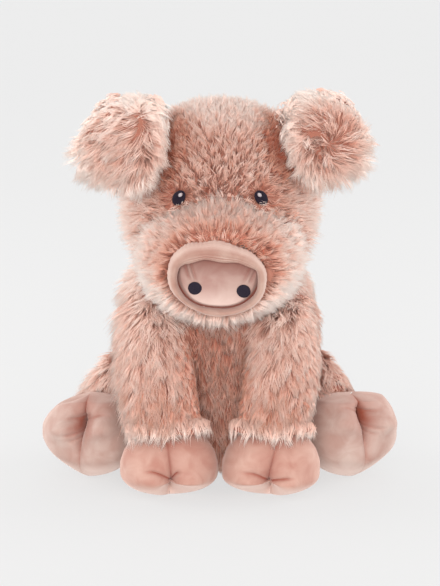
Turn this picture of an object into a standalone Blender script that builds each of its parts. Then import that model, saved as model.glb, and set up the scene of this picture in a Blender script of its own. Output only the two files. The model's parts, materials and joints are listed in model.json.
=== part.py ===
"""A sitting plush pig with sewn covers, loose stuffing inside them and flexing seams.

Metres, +Z up. The pig faces -Y and sits on the plane z = 0, with its middle plane at x = 0.
Each cover is a hollow skin of pile cloth, whose wall holds the cloth and its pressed pile.
"""

import math

import bmesh
import bpy
import numpy as np
from mathutils.bvhtree import BVHTree

# Clearances and walls
GAP = 0.0003
PILE_WALL = 0.009
SMOOTH_WALL = 0.0025
FLOOR_SINK = 0.0005
CUT_OVERRUN = 0.02
CUTTER_SPAN = 0.6

# Torso
HIP_HALF_WIDTH = 0.073
HIP_HALF_DEPTH = 0.066
SEAT_SETBACK = 0.026
SEAT_ROUNDING = 0.018
SEAT_FLATNESS_SHARE = 0.3
SHOULDER_HALF_WIDTH = 0.069
NECK_RADIUS = 0.050
NECK_HEIGHT = 0.118
NECK_OPENING_RADIUS = 0.026
PELLET_DEPTH = 0.034

# Head
HEAD_HALF_WIDTH = 0.065
HEAD_HALF_DEPTH = 0.058
HEAD_HALF_HEIGHT = 0.065
HEAD_RISE = 0.082
HEAD_FORWARD = 0.008
HEAD_SQUARENESS = 2.2

# Muzzle and snout
MUZZLE_HALF_WIDTH = 0.053
MUZZLE_HALF_HEIGHT = 0.043
MUZZLE_LENGTH = 0.048
MUZZLE_DROP = 0.040
MUZZLE_ROOT_DEPTH = 0.030
SNOUT_HALF_WIDTH = 0.0350
SNOUT_HALF_HEIGHT = 0.026
SNOUT_RIM_HALF_DEPTH = 0.007
SNOUT_SIDE_BAND = 0.0085
SNOUT_TOP_BAND = 0.0135
SNOUT_BOTTOM_BAND = 0.0065
SNOUT_DISC_DEPTH = 0.010
SNOUT_DISC_CROWN = 0.004
SNOUT_DISC_RECESS = 0.004
SNOUT_DISC_CURVE = math.radians(60)
NOSTRIL_HALF_WIDTH = 0.0046
NOSTRIL_HALF_HEIGHT = 0.0042
NOSTRIL_SPREAD = 0.0163
NOSTRIL_DROP = 0.0045

# Eyes
EYE_HALF_LENGTH = 0.0055
EYE_HALF_WIDTH = 0.0044
EYE_SPREAD = 0.028
EYE_RISE = 0.003
EYE_TILT = math.radians(38)
STITCH_HEIGHT = 0.0010
GLINT_HALF_LENGTH = 0.0014
GLINT_HALF_WIDTH = 0.0010
GLINT_OFFSET_SHARE = 0.25

# Ears
EAR_LENGTH = 0.053
EAR_HALF_WIDTH = 0.035
EAR_HALF_THICKNESS = 0.0095
EAR_ROOT_RADIUS = 0.009
EAR_TIP_ROUNDING = 0.008
EAR_ROOT_ANGLE = math.radians(42)
EAR_ROOT_FORWARD = math.radians(8)

# Forelegs
FORELEG_HALF_WIDTH = 0.029
FORELEG_HALF_DEPTH = 0.025
FORELEG_SPREAD = 0.044
FORELEG_DROP = 0.006
FORELEG_FORWARD = 0.016
SHOULDER_ROUNDING = 0.016
FORE_HEM_HEIGHT = 0.046
FORE_TROTTER_SPREAD = 0.0350
FORE_TROTTER_FORWARD = 0.078
FORE_TROTTER_HALF_WIDTH = 0.0335
FORE_TROTTER_HALF_DEPTH = 0.0275

# Hind legs
HIND_HALF_WIDTH = 0.038
HIND_LENGTH = 0.048
HIND_INSET = 0.023
HIND_SETBACK = 0.034
HIND_HEIGHT = 0.044
HIP_HINGE_ANGLE = math.radians(34)
HIND_SPLAY = math.radians(36)
HAUNCH_ROUNDING = 0.036
HIND_TROTTER_HALF_WIDTH = 0.0315
HIND_TROTTER_LENGTH = 0.048
HIND_TROTTER_ROUNDING = 0.013
HIND_TROTTER_SINK = 0.0015

# Toes
CLEFT_DEPTH = 0.0070
CLEFT_WIDTH = math.radians(15)

# Tail
TAIL_RADIUS = 0.0048
TAIL_CURL_RADIUS = 0.0090
TAIL_CURL_PITCH = 0.0130
TAIL_HEIGHT = 0.062
TAIL_TURNS = 1.15
TAIL_START_SHARE = 0.4
TAIL_TAPER_SHARE = 0.33

# Ring and step counts
TORSO_AROUND = 20
HEAD_AROUND = 20
HEAD_RINGS = 9
DOME_AROUND = 36
DOME_RINGS = 13
MUZZLE_AROUND = 18
MUZZLE_RINGS = 6
LIMB_AROUND = 16
LIMB_RINGS = 7
TROTTER_AROUND = 20
TROTTER_RINGS = 5
EAR_AROUND = 10
EAR_RINGS = 7
EAR_CAP_RINGS = 2
RIM_AROUND = 22
RIM_SECTION = 8
PATCH_AROUND = 12
TAIL_AROUND = 7
TAIL_STEPS = 15
CAP_RINGS = 2
SEAT_RINGS = 4
DOME_STEPS = 5

# Torso rings below the neck: height share of the neck's height, then how far the half-width,
# the half-depth and the setback have gone from the shoulders' value (0) to the hips' (1)
TORSO_PROFILE_SHARES = (
    (0.90, 0.08, -0.02, 0.10),
    (0.74, 0.32, 0.00, 0.30),
    (0.54, 0.78, 0.45, 0.65),
    (0.34, 1.00, 0.96, 0.92),
    (0.15, 0.93, 0.92, 1.00),
)
# Muzzle rings from head to snout: length share, half-width share, half-height share, drop share
MUZZLE_PROFILE_SHARES = (
    (0.00, 1.00, 1.00, 0.86),
    (0.30, 1.01, 1.01, 0.92),
    (0.62, 0.97, 0.95, 0.98),
    (0.86, 0.87, 0.84, 1.02),
    (1.00, 0.73, 0.69, 1.05),
)
# Ear centre line from its root: outward, forward and up shares of the reach, then the
# half-width share and the half-thickness share there
LEFT_EAR_SHARES = (
    (0.00, 0.00, 0.00, 0.26, 0.95),
    (0.12, 0.20, 0.12, 0.62, 1.00),
    (0.20, 0.42, 0.04, 0.90, 1.00),
    (0.29, 0.60, -0.18, 1.02, 1.00),
    (0.36, 0.68, -0.46, 0.96, 0.95),
    (0.40, 0.69, -0.68, 0.76, 0.85),
)
RIGHT_EAR_SHARES = (
    (0.00, 0.00, 0.00, 0.26, 0.95),
    (0.14, 0.20, 0.12, 0.58, 1.00),
    (0.28, 0.40, 0.04, 0.82, 1.00),
    (0.40, 0.52, -0.17, 0.90, 1.00),
    (0.50, 0.58, -0.43, 0.86, 0.95),
    (0.56, 0.59, -0.63, 0.68, 0.85),
)
# Across directions of the ears' sheets: outward, forward and up shares of a unit length
LEFT_EAR_ACROSS_SHARES = (0.88, -0.44, 0.17)
RIGHT_EAR_ACROSS_SHARES = (0.84, -0.30, 0.44)
# Foreleg sleeve from shoulder to hem: how far the spread, the forward reach and the height have
# gone from the shoulder's value (0) to the hem's (1), then half-width and half-depth shares
FORELEG_SHARES = (
    (0.00, 0.00, 0.00, 0.84, 0.80),
    (0.02, 0.28, 0.08, 0.94, 0.92),
    (0.10, 0.58, 0.29, 1.00, 1.00),
    (0.40, 0.85, 0.60, 1.00, 1.00),
    (0.80, 0.97, 0.86, 0.98, 1.00),
    (1.00, 1.00, 1.00, 0.95, 0.96),
)
# Fore trotter from hem to sole: height share of the hem's height, half-width share,
# half-depth share, cleft share
FORE_TROTTER_SHARES = (
    (1.00, 0.80, 0.84, 0.30),
    (0.80, 0.92, 0.94, 0.55),
    (0.55, 1.00, 1.00, 0.85),
    (0.30, 0.99, 1.00, 1.00),
    (0.14, 0.90, 0.93, 0.90),
)
# Hind sleeve from hip to ankle: length share, half-width share, height share of the hip's height
HIND_SHARES = (
    (0.00, 1.00, 1.00),
    (0.40, 0.98, 1.02),
    (0.74, 0.86, 0.90),
    (1.00, 0.62, 0.76),
)
# Hind trotter from ankle to sole: length share, half-size share, cleft share
HIND_TROTTER_SHARES = (
    (0.00, 0.70, 0.30),
    (0.30, 0.92, 0.60),
    (0.62, 1.00, 0.90),
    (0.86, 0.98, 1.00),
)

LEFT = -1
RIGHT = 1
SIDE_NAMES = {LEFT: "left", RIGHT: "right"}


def clear_scene():
    """Removes every object that is in the file."""
    for item in list(bpy.data.objects):
        bpy.data.objects.remove(item, do_unlink=True)


def finish(name, colour, roughness):
    """A cloth or thread finish of one colour."""
    made = bpy.data.materials.new(name)
    made.use_nodes = True
    shader = made.node_tree.nodes["Principled BSDF"]
    shader.inputs["Base Color"].default_value = (*colour, 1.0)
    shader.inputs["Roughness"].default_value = roughness
    shader.inputs["Metallic"].default_value = 0.0
    made.diffuse_color = (*colour, 1.0)
    return made


def long_pile_plush():
    """Dusty pink cloth with a long shaggy pile."""
    return finish("long_pile_plush", (0.62, 0.34, 0.27), 0.95)


def smooth_plush():
    """Paler pink velour with a short brushed pile."""
    return finish("smooth_plush", (0.72, 0.42, 0.34), 0.85)


def polyester_fibre():
    """White loose fibre stuffing."""
    return finish("polyester_fibre", (0.85, 0.85, 0.83), 0.95)


def pellet_cloth():
    """Thin white cloth bag of plastic pellets."""
    return finish("pellet_cloth", (0.78, 0.78, 0.76), 0.8)


def dark_thread():
    """Dark plum embroidery thread."""
    return finish("dark_thread", (0.025, 0.016, 0.033), 0.45)


def white_thread():
    """White embroidery thread."""
    return finish("white_thread", (0.88, 0.86, 0.86), 0.5)


def unit(vector):
    """The vector at length one; works on one vector or on rows of them."""
    vector = np.asarray(vector, float)
    return vector / np.linalg.norm(vector, axis=-1, keepdims=True)


def smooth_rows(rows, count):
    """Rows read from a Catmull-Rom curve through the given rows, at even steps."""
    rows = np.asarray(rows, float)
    padded = np.vstack([2 * rows[0] - rows[1], rows, 2 * rows[-1] - rows[-2]])
    place = np.linspace(0, len(rows) - 1, count)
    first = np.minimum(place.astype(int), len(rows) - 2)
    part = (place - first)[:, None]
    before, start, end, after = (padded[first + step] for step in range(4))
    return (
        start
        + (end - before) * part / 2
        + (2 * before - 5 * start + 4 * end - after) * part**2 / 2
        + (3 * start - before - 3 * end + after) * part**3 / 2
    )


def ring_faces(rings, around):
    """Triangles between successive rings, and a fan of them to the pole at each end."""
    index = np.arange(rings * around).reshape(rings, around)
    turned = np.roll(index, -1, axis=1)
    first = np.stack([index[:-1], turned[:-1], turned[1:]], axis=-1).reshape(-1, 3)
    second = np.stack([index[:-1], turned[1:], index[1:]], axis=-1).reshape(-1, 3)
    poles = np.full((2, around), rings * around)
    poles[1] += 1
    start = np.stack([poles[0], turned[0], index[0]], axis=-1)
    end = np.stack([poles[1], index[-1], turned[-1]], axis=-1)
    return np.vstack([first, second, start, end])


def outward(points, faces):
    """The triangles, turned round when they enclose a negative volume."""
    corners = points[faces]
    volume = np.einsum("ij,ij->", corners[:, 0], np.cross(corners[:, 1], corners[:, 2]))
    return faces if volume > 0 else faces[:, ::-1]


def closed_rings(rings, first_pole, last_pole):
    """Points and faces of a closed skin over an array of rings and its two poles."""
    count, around = rings.shape[:2]
    points = np.vstack([rings.reshape(-1, 3), first_pole, last_pole])
    return points, outward(points, ring_faces(count, around))


def section(around, squareness=2.0):
    """Unit cross-section: a superellipse, which is a circle when its squareness is 2."""
    angle = np.arange(around) * 2 * math.pi / around
    power = 2.0 / squareness
    across = np.sign(np.cos(angle)) * np.abs(np.cos(angle)) ** power
    up = np.sign(np.sin(angle)) * np.abs(np.sin(angle)) ** power
    return angle, across, up


def loft(rows, side, around, along, start_cap, end_cap, inset=0.0, cleft_angle=None):
    """A closed skin along a path, with rounded ends.

    Each row holds a centre, a half-width across the path, a half-height and a cleft depth. The
    half-width lies along side, made square to the path. Each cap is the depth of a rounded end,
    and inset draws the whole skin in, as a wall's inner face.
    """
    rows = smooth_rows(rows, along)
    rows[:, 3:5] -= inset
    centres = rows[:, :3]
    tangents = unit(np.gradient(centres, axis=0))
    ups = unit(np.cross(tangents, side))
    sides = unit(np.cross(ups, tangents))
    bend = np.arange(1, CAP_RINGS + 1) / (CAP_RINGS + 1) * math.pi / 2
    before = np.zeros((CAP_RINGS, 3))
    before[:] = centres[0] - tangents[0] * start_cap * np.sin(bend)[::-1, None]
    after = centres[-1] + tangents[-1] * end_cap * np.sin(bend)[:, None]
    shrink = np.concatenate([np.cos(bend)[::-1], np.ones(along), np.cos(bend)])
    pick = np.concatenate([np.zeros(CAP_RINGS, int), np.arange(along), np.full(CAP_RINGS, along - 1)])
    centres = np.vstack([before, centres, after])
    angle, across, up = section(around)
    depth = rows[pick, 5] if rows.shape[1] > 5 else np.zeros(len(pick))
    width = rows[pick, 3] * shrink
    height = rows[pick, 4] * shrink
    scale = np.ones((len(pick), around))
    if cleft_angle is not None:
        away = np.angle(np.exp(1j * (angle - cleft_angle)))
        mean_size = np.maximum((rows[pick, 3] + rows[pick, 4]) / 2, GAP)
        scale -= (depth / mean_size)[:, None] * np.exp(-((away / CLEFT_WIDTH) ** 2))[None, :]
    rings = centres[:, None] + scale[..., None] * (
        sides[pick][:, None] * (width[:, None] * across)[..., None]
        + ups[pick][:, None] * (height[:, None] * up)[..., None]
    )
    first_pole = rows[0, :3] - tangents[0] * start_cap
    last_pole = rows[-1, :3] + tangents[-1] * end_cap
    return closed_rings(rings, first_pole, last_pole)


def ellipsoid(centre, half_sizes, around, rings, squareness=2.0, axis=2):
    """A closed superellipsoid with its poles on the given axis."""
    across_axis, up_axis = [other for other in range(3) if other != axis]
    lift = np.linspace(-math.pi / 2, math.pi / 2, rings + 2)[1:-1]
    power = 2.0 / squareness
    reach = np.cos(lift) ** power
    rise = np.sign(np.sin(lift)) * np.abs(np.sin(lift)) ** power
    _, across, up = section(around, squareness)
    grid = np.zeros((rings, around, 3))
    grid[..., across_axis] = reach[:, None] * across
    grid[..., up_axis] = reach[:, None] * up
    grid[..., axis] = rise[:, None]
    pole = np.zeros(3)
    pole[axis] = 1.0
    half_sizes = np.asarray(half_sizes)
    centre = np.asarray(centre)
    return closed_rings(grid * half_sizes + centre, centre - pole * half_sizes, centre + pole * half_sizes)


def grown(mesh_data, distance):
    """The same skin with every point moved along its own normal, outwards when positive."""
    points, faces = mesh_data
    corners = points[faces]
    normal = np.cross(corners[:, 1] - corners[:, 0], corners[:, 2] - corners[:, 0])
    total = np.zeros_like(points)
    for corner in range(3):
        np.add.at(total, faces[:, corner], normal)
    return points + unit(total) * distance, faces


def add_solid(name, mesh_data, surface):
    """A named object with this skin and surface finish, shaded smooth."""
    points, faces = mesh_data
    mesh = bpy.data.meshes.new(name)
    mesh.from_pydata(points.tolist(), [], faces.tolist())
    mesh.update()
    mesh.shade_smooth()
    item = bpy.data.objects.new(name, mesh)
    bpy.context.collection.objects.link(item)
    if surface is not None:
        mesh.materials.append(surface)
    return item


def add_cutter(name, mesh_data):
    """A helper body, shown as wires and left out of renders."""
    item = add_solid(name, mesh_data, None)
    item.hide_render = True
    item.display_type = "WIRE"
    return item


def add_box_cutter(name, low, high):
    """A helper box between two corners."""
    mesh = bpy.data.meshes.new(name)
    shape = bmesh.new()
    bmesh.ops.create_cube(shape, size=1.0)
    low = np.asarray(low)
    high = np.asarray(high)
    for vertex in shape.verts:
        vertex.co = (np.asarray(vertex.co) * (high - low)) + (low + high) / 2
    shape.to_mesh(mesh)
    shape.free()
    item = bpy.data.objects.new(name, mesh)
    bpy.context.collection.objects.link(item)
    item.hide_render = True
    item.display_type = "WIRE"
    return item


def cut(item, *cutters, operation="DIFFERENCE"):
    """Cuts the helper bodies out of a solid, or keeps only what lies inside them."""
    for cutter in cutters:
        step = item.modifiers.new(cutter.name, "BOOLEAN")
        step.operation = operation
        step.object = cutter
        step.solver = "EXACT"


def place_on_axis(item, point):
    """Moves an object's origin to a point, with its shape left where it is."""
    point = np.asarray(point, float)
    count = len(item.data.vertices)
    flat = np.empty(count * 3)
    item.data.vertices.foreach_get("co", flat)
    item.data.vertices.foreach_set("co", (flat.reshape(-1, 3) - point).ravel())
    item.data.update()
    item.location = point


def blend(start, end, share):
    """The value that lies the given share of the way from start to end."""
    return start + (end - start) * share


def seated(skin, place, normal, radius):
    """Centre of a ball of this radius that lies a gap above the skin's faceted surface."""
    points, faces = skin
    tree = BVHTree.FromPolygons(points.tolist(), faces.tolist())
    centre = place + normal * (radius + GAP)
    distance = tree.find_nearest(centre)[3]
    return centre - normal * (distance - radius - GAP)


def floor_cutter():
    """All that would lie below the plane that the pig sits on."""
    half = CUTTER_SPAN / 2
    return add_box_cutter("floor_cutter", (-half, -half, -half), (half, half, 0.0))


# Torso


def torso_rings():
    """Heights, half-widths, half-depths and setbacks of the torso, from its crown to its seat."""
    rise = np.linspace(0, math.pi / 2, DOME_STEPS + 1)[1:]
    dome = [
        (
            NECK_HEIGHT + NECK_RADIUS * math.cos(angle),
            SHOULDER_HALF_WIDTH * math.sin(angle),
            NECK_RADIUS * math.sin(angle),
            0.0,
        )
        for angle in rise
    ]
    trunk = [
        (
            NECK_HEIGHT * height,
            blend(SHOULDER_HALF_WIDTH, HIP_HALF_WIDTH, width),
            blend(NECK_RADIUS, HIP_HALF_DEPTH, depth),
            SEAT_SETBACK * setback,
        )
        for height, width, depth, setback in TORSO_PROFILE_SHARES
    ]
    last_height, last_width, last_depth, last_setback = trunk[-1]
    drop = last_height + FLOOR_SINK
    bend = np.arange(1, SEAT_RINGS + 1) / (SEAT_RINGS + 1) * math.pi / 2
    seat = []
    for angle in bend:
        inwards = math.cos(angle)
        shrink = inwards**SEAT_FLATNESS_SHARE
        width = blend(last_width - SEAT_ROUNDING, last_width, inwards) * shrink
        depth = blend(last_depth - SEAT_ROUNDING, last_depth, inwards) * shrink
        seat.append((last_height - drop * math.sin(angle), width, depth, last_setback))
    return np.array(dome + trunk + seat)


def torso_skin():
    """The torso's closed outer skin."""
    rows = torso_rings()
    _, across, up = section(TORSO_AROUND)
    rings = np.zeros((len(rows), TORSO_AROUND, 3))
    rings[..., 0] = rows[:, 1, None] * across
    rings[..., 1] = rows[:, 3, None] + rows[:, 2, None] * up
    rings[..., 2] = rows[:, 0, None]
    crown = np.array([0.0, 0.0, NECK_HEIGHT + NECK_RADIUS])
    seat = np.array([0.0, rows[-1, 3], -FLOOR_SINK])
    return closed_rings(rings, crown, seat)


def neck_plug(radius):
    """An upright round plug through the top of the neck, drawn as a lofted rod."""
    low = NECK_HEIGHT + NECK_RADIUS / 2
    high = NECK_HEIGHT + NECK_RADIUS + CUT_OVERRUN
    rows = [(0.0, 0.0, low, radius, radius), (0.0, 0.0, high, radius, radius)]
    return loft(rows, (1.0, 0.0, 0.0), TORSO_AROUND, 2, GAP, GAP)


def build_torso(cutters):
    """The torso's cover, its stuffing and the pellet bag that weighs down its seat."""
    skin = torso_skin()
    cover = add_solid("torso_cover", skin, long_pile_plush())
    cavity = add_cutter("torso_cavity", grown(skin, -PILE_WALL))
    opening = add_cutter("neck_opening_cutter", neck_plug(NECK_OPENING_RADIUS))
    cut(cover, cavity, opening, cutters["floor"])
    half = CUTTER_SPAN / 2
    inner = grown(skin, -PILE_WALL - GAP)
    above = add_box_cutter("above_pellets", (-half, -half, PELLET_DEPTH), (half, half, half))
    below = add_box_cutter("below_stuffing", (-half, -half, -half), (half, half, PELLET_DEPTH - GAP))
    stuffing = add_solid("torso_stuffing", inner, polyester_fibre())
    cut(stuffing, above, operation="INTERSECT")
    bag = add_solid("seat_pellet_bag", inner, pellet_cloth())
    cut(bag, below, operation="INTERSECT")
    return [cover, stuffing, bag]


def back_surface(height):
    """The point of the torso's back at a height in its middle plane, and the normal there."""
    rows = torso_rings()[::-1]
    backs = rows[:, 3] + rows[:, 2]
    steps = np.diff(backs) / np.diff(rows[:, 0])
    slope = steps[np.searchsorted(rows[:, 0], height) - 1]
    return np.array([0.0, np.interp(height, rows[:, 0], backs), height]), unit((0.0, 1.0, -slope))


# Head


def head_centre():
    """Middle of the head."""
    return np.array([0.0, -HEAD_FORWARD, NECK_HEIGHT + HEAD_RISE])


def head_half_sizes():
    """Half-width, half-depth and half-height of the head."""
    return np.array([HEAD_HALF_WIDTH, HEAD_HALF_DEPTH, HEAD_HALF_HEIGHT])


def head_skin():
    """The head's closed outer skin."""
    return ellipsoid(head_centre(), head_half_sizes(), HEAD_AROUND, HEAD_RINGS, HEAD_SQUARENESS)


def head_surface(direction):
    """The point of the head's skin in a direction from its middle, and the normal there."""
    direction = unit(direction)
    half = head_half_sizes()
    reach = (np.abs(direction / half) ** HEAD_SQUARENESS).sum() ** (-1 / HEAD_SQUARENESS)
    offset = direction * reach
    normal = unit(np.sign(offset) * np.abs(offset / half) ** (HEAD_SQUARENESS - 1) / half)
    return head_centre() + offset, normal


def neck_socket():
    """The turned space that the shoulders need when the head nods over them."""
    slack = 1 / math.cos(math.pi / DOME_AROUND)
    sizes = (SHOULDER_HALF_WIDTH + GAP, (NECK_RADIUS + GAP) * slack, (NECK_RADIUS + GAP) * slack)
    return ellipsoid((0.0, 0.0, NECK_HEIGHT), sizes, DOME_AROUND, DOME_RINGS, axis=0)


def build_head(cutters):
    """The head's cover and its stuffing."""
    skin = head_skin()
    cover = add_solid("head_cover", skin, long_pile_plush())
    cavity = add_cutter("head_cavity", grown(skin, -PILE_WALL))
    cut(cover, cavity, cutters["socket"])
    stuffing = add_solid("head_stuffing", grown(skin, -PILE_WALL - GAP), polyester_fibre())
    cut(stuffing, cutters["socket"])
    return [cover, stuffing]


def muzzle_front():
    """How far forward the muzzle's cover ends."""
    return HEAD_FORWARD + HEAD_HALF_DEPTH + MUZZLE_LENGTH - SNOUT_RIM_HALF_DEPTH


def snout_centre():
    """Middle of the snout's rim."""
    drop = MUZZLE_PROFILE_SHARES[-1][3] * MUZZLE_DROP
    forward = muzzle_front() + GAP + SNOUT_RIM_HALF_DEPTH
    return np.array([0.0, -forward, head_centre()[2] - drop])


def muzzle_skin(inset=0.0, start_cap=GAP):
    """The muzzle's skin, a swelling mound from inside the head to the snout."""
    start = muzzle_front() - MUZZLE_LENGTH - MUZZLE_ROOT_DEPTH
    length = MUZZLE_LENGTH + MUZZLE_ROOT_DEPTH
    rows = [
        (
            0.0,
            -(start + length * share),
            head_centre()[2] - MUZZLE_DROP * drop,
            MUZZLE_HALF_WIDTH * width,
            MUZZLE_HALF_HEIGHT * height,
        )
        for share, width, height, drop in MUZZLE_PROFILE_SHARES
    ]
    return loft(rows, (1.0, 0.0, 0.0), MUZZLE_AROUND, MUZZLE_RINGS, start_cap, CUT_OVERRUN, inset)


def build_muzzle(cutters):
    """The muzzle's cover, open at the snout, and its stuffing."""
    half = CUTTER_SPAN / 2
    front = add_box_cutter("snout_plane", (-half, -half, -half), (half, -muzzle_front(), CUTTER_SPAN))
    cavity = add_cutter("muzzle_cavity", muzzle_skin(PILE_WALL, CUT_OVERRUN))
    cover = add_solid("muzzle_cover", muzzle_skin(), long_pile_plush())
    cut(cover, cutters["head"], cutters["socket"], front, cavity)
    disc_back = -muzzle_front() + SNOUT_DISC_DEPTH
    behind = add_box_cutter("disc_back_plane", (-half, -half, -half), (half, disc_back + GAP, CUTTER_SPAN))
    stuffing = add_solid("muzzle_stuffing", muzzle_skin(PILE_WALL + GAP), polyester_fibre())
    cut(stuffing, cutters["head"], cutters["socket"], behind)
    return [cover, stuffing]


def snout_edges(angle):
    """Outer and inner edge of the snout's rim, as height and width offsets at an angle."""
    outer = np.stack([SNOUT_HALF_WIDTH * np.cos(angle), SNOUT_HALF_HEIGHT * np.sin(angle)], axis=-1)
    return outer, opening_edge(angle)


def opening_edge(angle, inset=0.0):
    """Edge of the rim's opening, drawn in by an inset."""
    half_width = SNOUT_HALF_WIDTH - SNOUT_SIDE_BAND - inset
    half_height = SNOUT_HALF_HEIGHT - (SNOUT_TOP_BAND + SNOUT_BOTTOM_BAND) / 2 - inset
    drop = (SNOUT_TOP_BAND - SNOUT_BOTTOM_BAND) / 2
    return np.stack([half_width * np.cos(angle), half_height * np.sin(angle) - drop], axis=-1)


def rim_skin():
    """The skin of the snout's padded rim."""
    angle = np.arange(RIM_AROUND) * 2 * math.pi / RIM_AROUND
    outer, inner = snout_edges(angle)
    middle = (outer + inner) / 2
    spoke = (outer - inner) / 2
    turn = np.arange(RIM_SECTION) * 2 * math.pi / RIM_SECTION
    centre = snout_centre()
    ring = np.zeros((RIM_AROUND, RIM_SECTION, 3))
    ring[..., 0] = middle[:, None, 0] + spoke[:, None, 0] * np.cos(turn)
    ring[..., 1] = SNOUT_RIM_HALF_DEPTH * np.sin(turn)
    ring[..., 2] = middle[:, None, 1] + spoke[:, None, 1] * np.cos(turn)
    points = (ring + centre).reshape(-1, 3)
    index = np.arange(RIM_AROUND * RIM_SECTION).reshape(RIM_AROUND, RIM_SECTION)
    ahead = np.roll(index, -1, axis=0)
    across = np.roll(ahead, -1, axis=1)
    first = np.stack([index, ahead, across], axis=-1).reshape(-1, 3)
    second = np.stack([index, across, np.roll(index, -1, axis=1)], axis=-1).reshape(-1, 3)
    return points, outward(points, np.vstack([first, second]))


def disc_skin():
    """The skin of the crowned disc inside the rim."""
    angle = np.arange(RIM_AROUND) * 2 * math.pi / RIM_AROUND
    back = -muzzle_front() + SNOUT_DISC_DEPTH
    front = disc_front()
    fit = GAP + SMOOTH_WALL / 2
    straight = front + SNOUT_DISC_CROWN
    edge = opening_edge(angle, fit)
    rings = [
        disc_ring(opening_edge(angle, fit + SNOUT_RIM_HALF_DEPTH), back),
        disc_ring(edge, back),
        disc_ring(edge, straight),
    ]
    middle = np.array([0.0, opening_middle()])
    for bend in (SNOUT_DISC_CURVE / 2, SNOUT_DISC_CURVE):
        crown = (edge - middle) * math.cos(bend) + middle
        rings.append(disc_ring(crown, straight - SNOUT_DISC_CROWN * math.sin(bend)))
    lift = snout_centre()[2] + opening_middle()
    return closed_rings(np.array(rings), np.array([0.0, back, lift]), np.array([0.0, front, lift]))


def build_snout():
    """The snout's padded rim and the crowned disc inside it."""
    rim = add_solid("snout_rim", rim_skin(), smooth_plush())
    disc = add_solid("snout_disc", disc_skin(), smooth_plush())
    return [rim, disc]


def opening_middle():
    """Height of the opening's middle above the rim's middle."""
    return -(SNOUT_TOP_BAND - SNOUT_BOTTOM_BAND) / 2


def disc_front():
    """The y of the disc's crown, a little behind the rim's front."""
    return snout_centre()[1] - SNOUT_RIM_HALF_DEPTH + SNOUT_DISC_RECESS


def disc_ring(edge, place):
    """One ring of the disc at a depth."""
    ring = np.zeros((len(edge), 3))
    ring[:, 0] = edge[:, 0]
    ring[:, 1] = place
    ring[:, 2] = snout_centre()[2] + edge[:, 1]
    return ring


def patch(name, centre, normal, along, half_length, half_width, surface):
    """A satin-stitched oval patch: a low dome on a flat back."""
    normal = unit(normal)
    along = unit(np.asarray(along) - normal * np.dot(along, normal))
    cross = np.cross(normal, along)
    _, across, up = section(PATCH_AROUND)
    oval = along * (half_length * across)[:, None] + cross * (half_width * up)[:, None]
    rings = [centre + oval]
    for bend in np.arange(CAP_RINGS) / CAP_RINGS * math.pi / 2:
        lift = STITCH_HEIGHT * (1 + math.sin(bend)) / 2
        rings.append(centre + oval * math.cos(bend) + normal * lift)
    top = centre + normal * STITCH_HEIGHT
    return add_solid(name, closed_rings(np.array(rings), centre, top), surface)


def build_eye(side):
    """One eye of dark satin stitch with its white glint."""
    reach = math.sqrt(1 - (EYE_SPREAD / HEAD_HALF_WIDTH) ** 2)
    place, normal = head_surface((side * EYE_SPREAD, -HEAD_HALF_DEPTH * reach, EYE_RISE))
    along = np.array([side * math.cos(EYE_TILT), 0.0, -math.sin(EYE_TILT)])
    seat = place + normal * 2 * GAP
    name = SIDE_NAMES[side]
    eye = patch(f"eye_{name}", seat, normal, along, EYE_HALF_LENGTH, EYE_HALF_WIDTH, dark_thread())
    up_in = np.array([-side * EYE_HALF_LENGTH, 0.0, EYE_HALF_WIDTH]) * GLINT_OFFSET_SHARE
    up_in -= normal * np.dot(up_in, normal)
    glint_seat = seat + normal * (STITCH_HEIGHT + GAP) + up_in
    glint = patch(
        f"eye_glint_{name}", glint_seat, normal, along, GLINT_HALF_LENGTH, GLINT_HALF_WIDTH, white_thread()
    )
    return [eye, glint]


def build_nostril(side):
    """One nostril of dark satin stitch on the disc."""
    lift = snout_centre()[2] + opening_middle() - NOSTRIL_DROP
    points, faces = disc_skin()
    tree = BVHTree.FromPolygons(points.tolist(), faces.tolist())
    spot, normal, _, _ = tree.find_nearest((side * NOSTRIL_SPREAD, disc_front(), lift))
    normal = np.array(normal)
    along = (1.0, 0.0, 0.0)
    name = f"nostril_{SIDE_NAMES[side]}"
    seat = np.array(spot) + normal * GAP
    return patch(name, seat, normal, along, NOSTRIL_HALF_WIDTH, NOSTRIL_HALF_HEIGHT, dark_thread())


# Ears


def ear_root(side):
    """Centre of the ear's rolled root, seated on the head's upper corner."""
    direction = (
        side * math.sin(EAR_ROOT_ANGLE) * HEAD_HALF_WIDTH,
        -math.sin(EAR_ROOT_FORWARD) * HEAD_HALF_DEPTH,
        math.cos(EAR_ROOT_ANGLE) * HEAD_HALF_HEIGHT,
    )
    place, normal = head_surface(direction)
    return seated(head_skin(), place, normal, EAR_ROOT_RADIUS)


def ear_rows(side):
    """Centre line and half-sizes of one ear."""
    shares = LEFT_EAR_SHARES if side == LEFT else RIGHT_EAR_SHARES
    root = ear_root(side)
    return np.array(
        [
            (
                root[0] + side * EAR_LENGTH * out,
                root[1] - EAR_LENGTH * ahead,
                root[2] + EAR_LENGTH * rise,
                EAR_HALF_WIDTH * width,
                EAR_HALF_THICKNESS * thickness,
            )
            for out, ahead, rise, width, thickness in shares
        ]
    )


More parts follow.
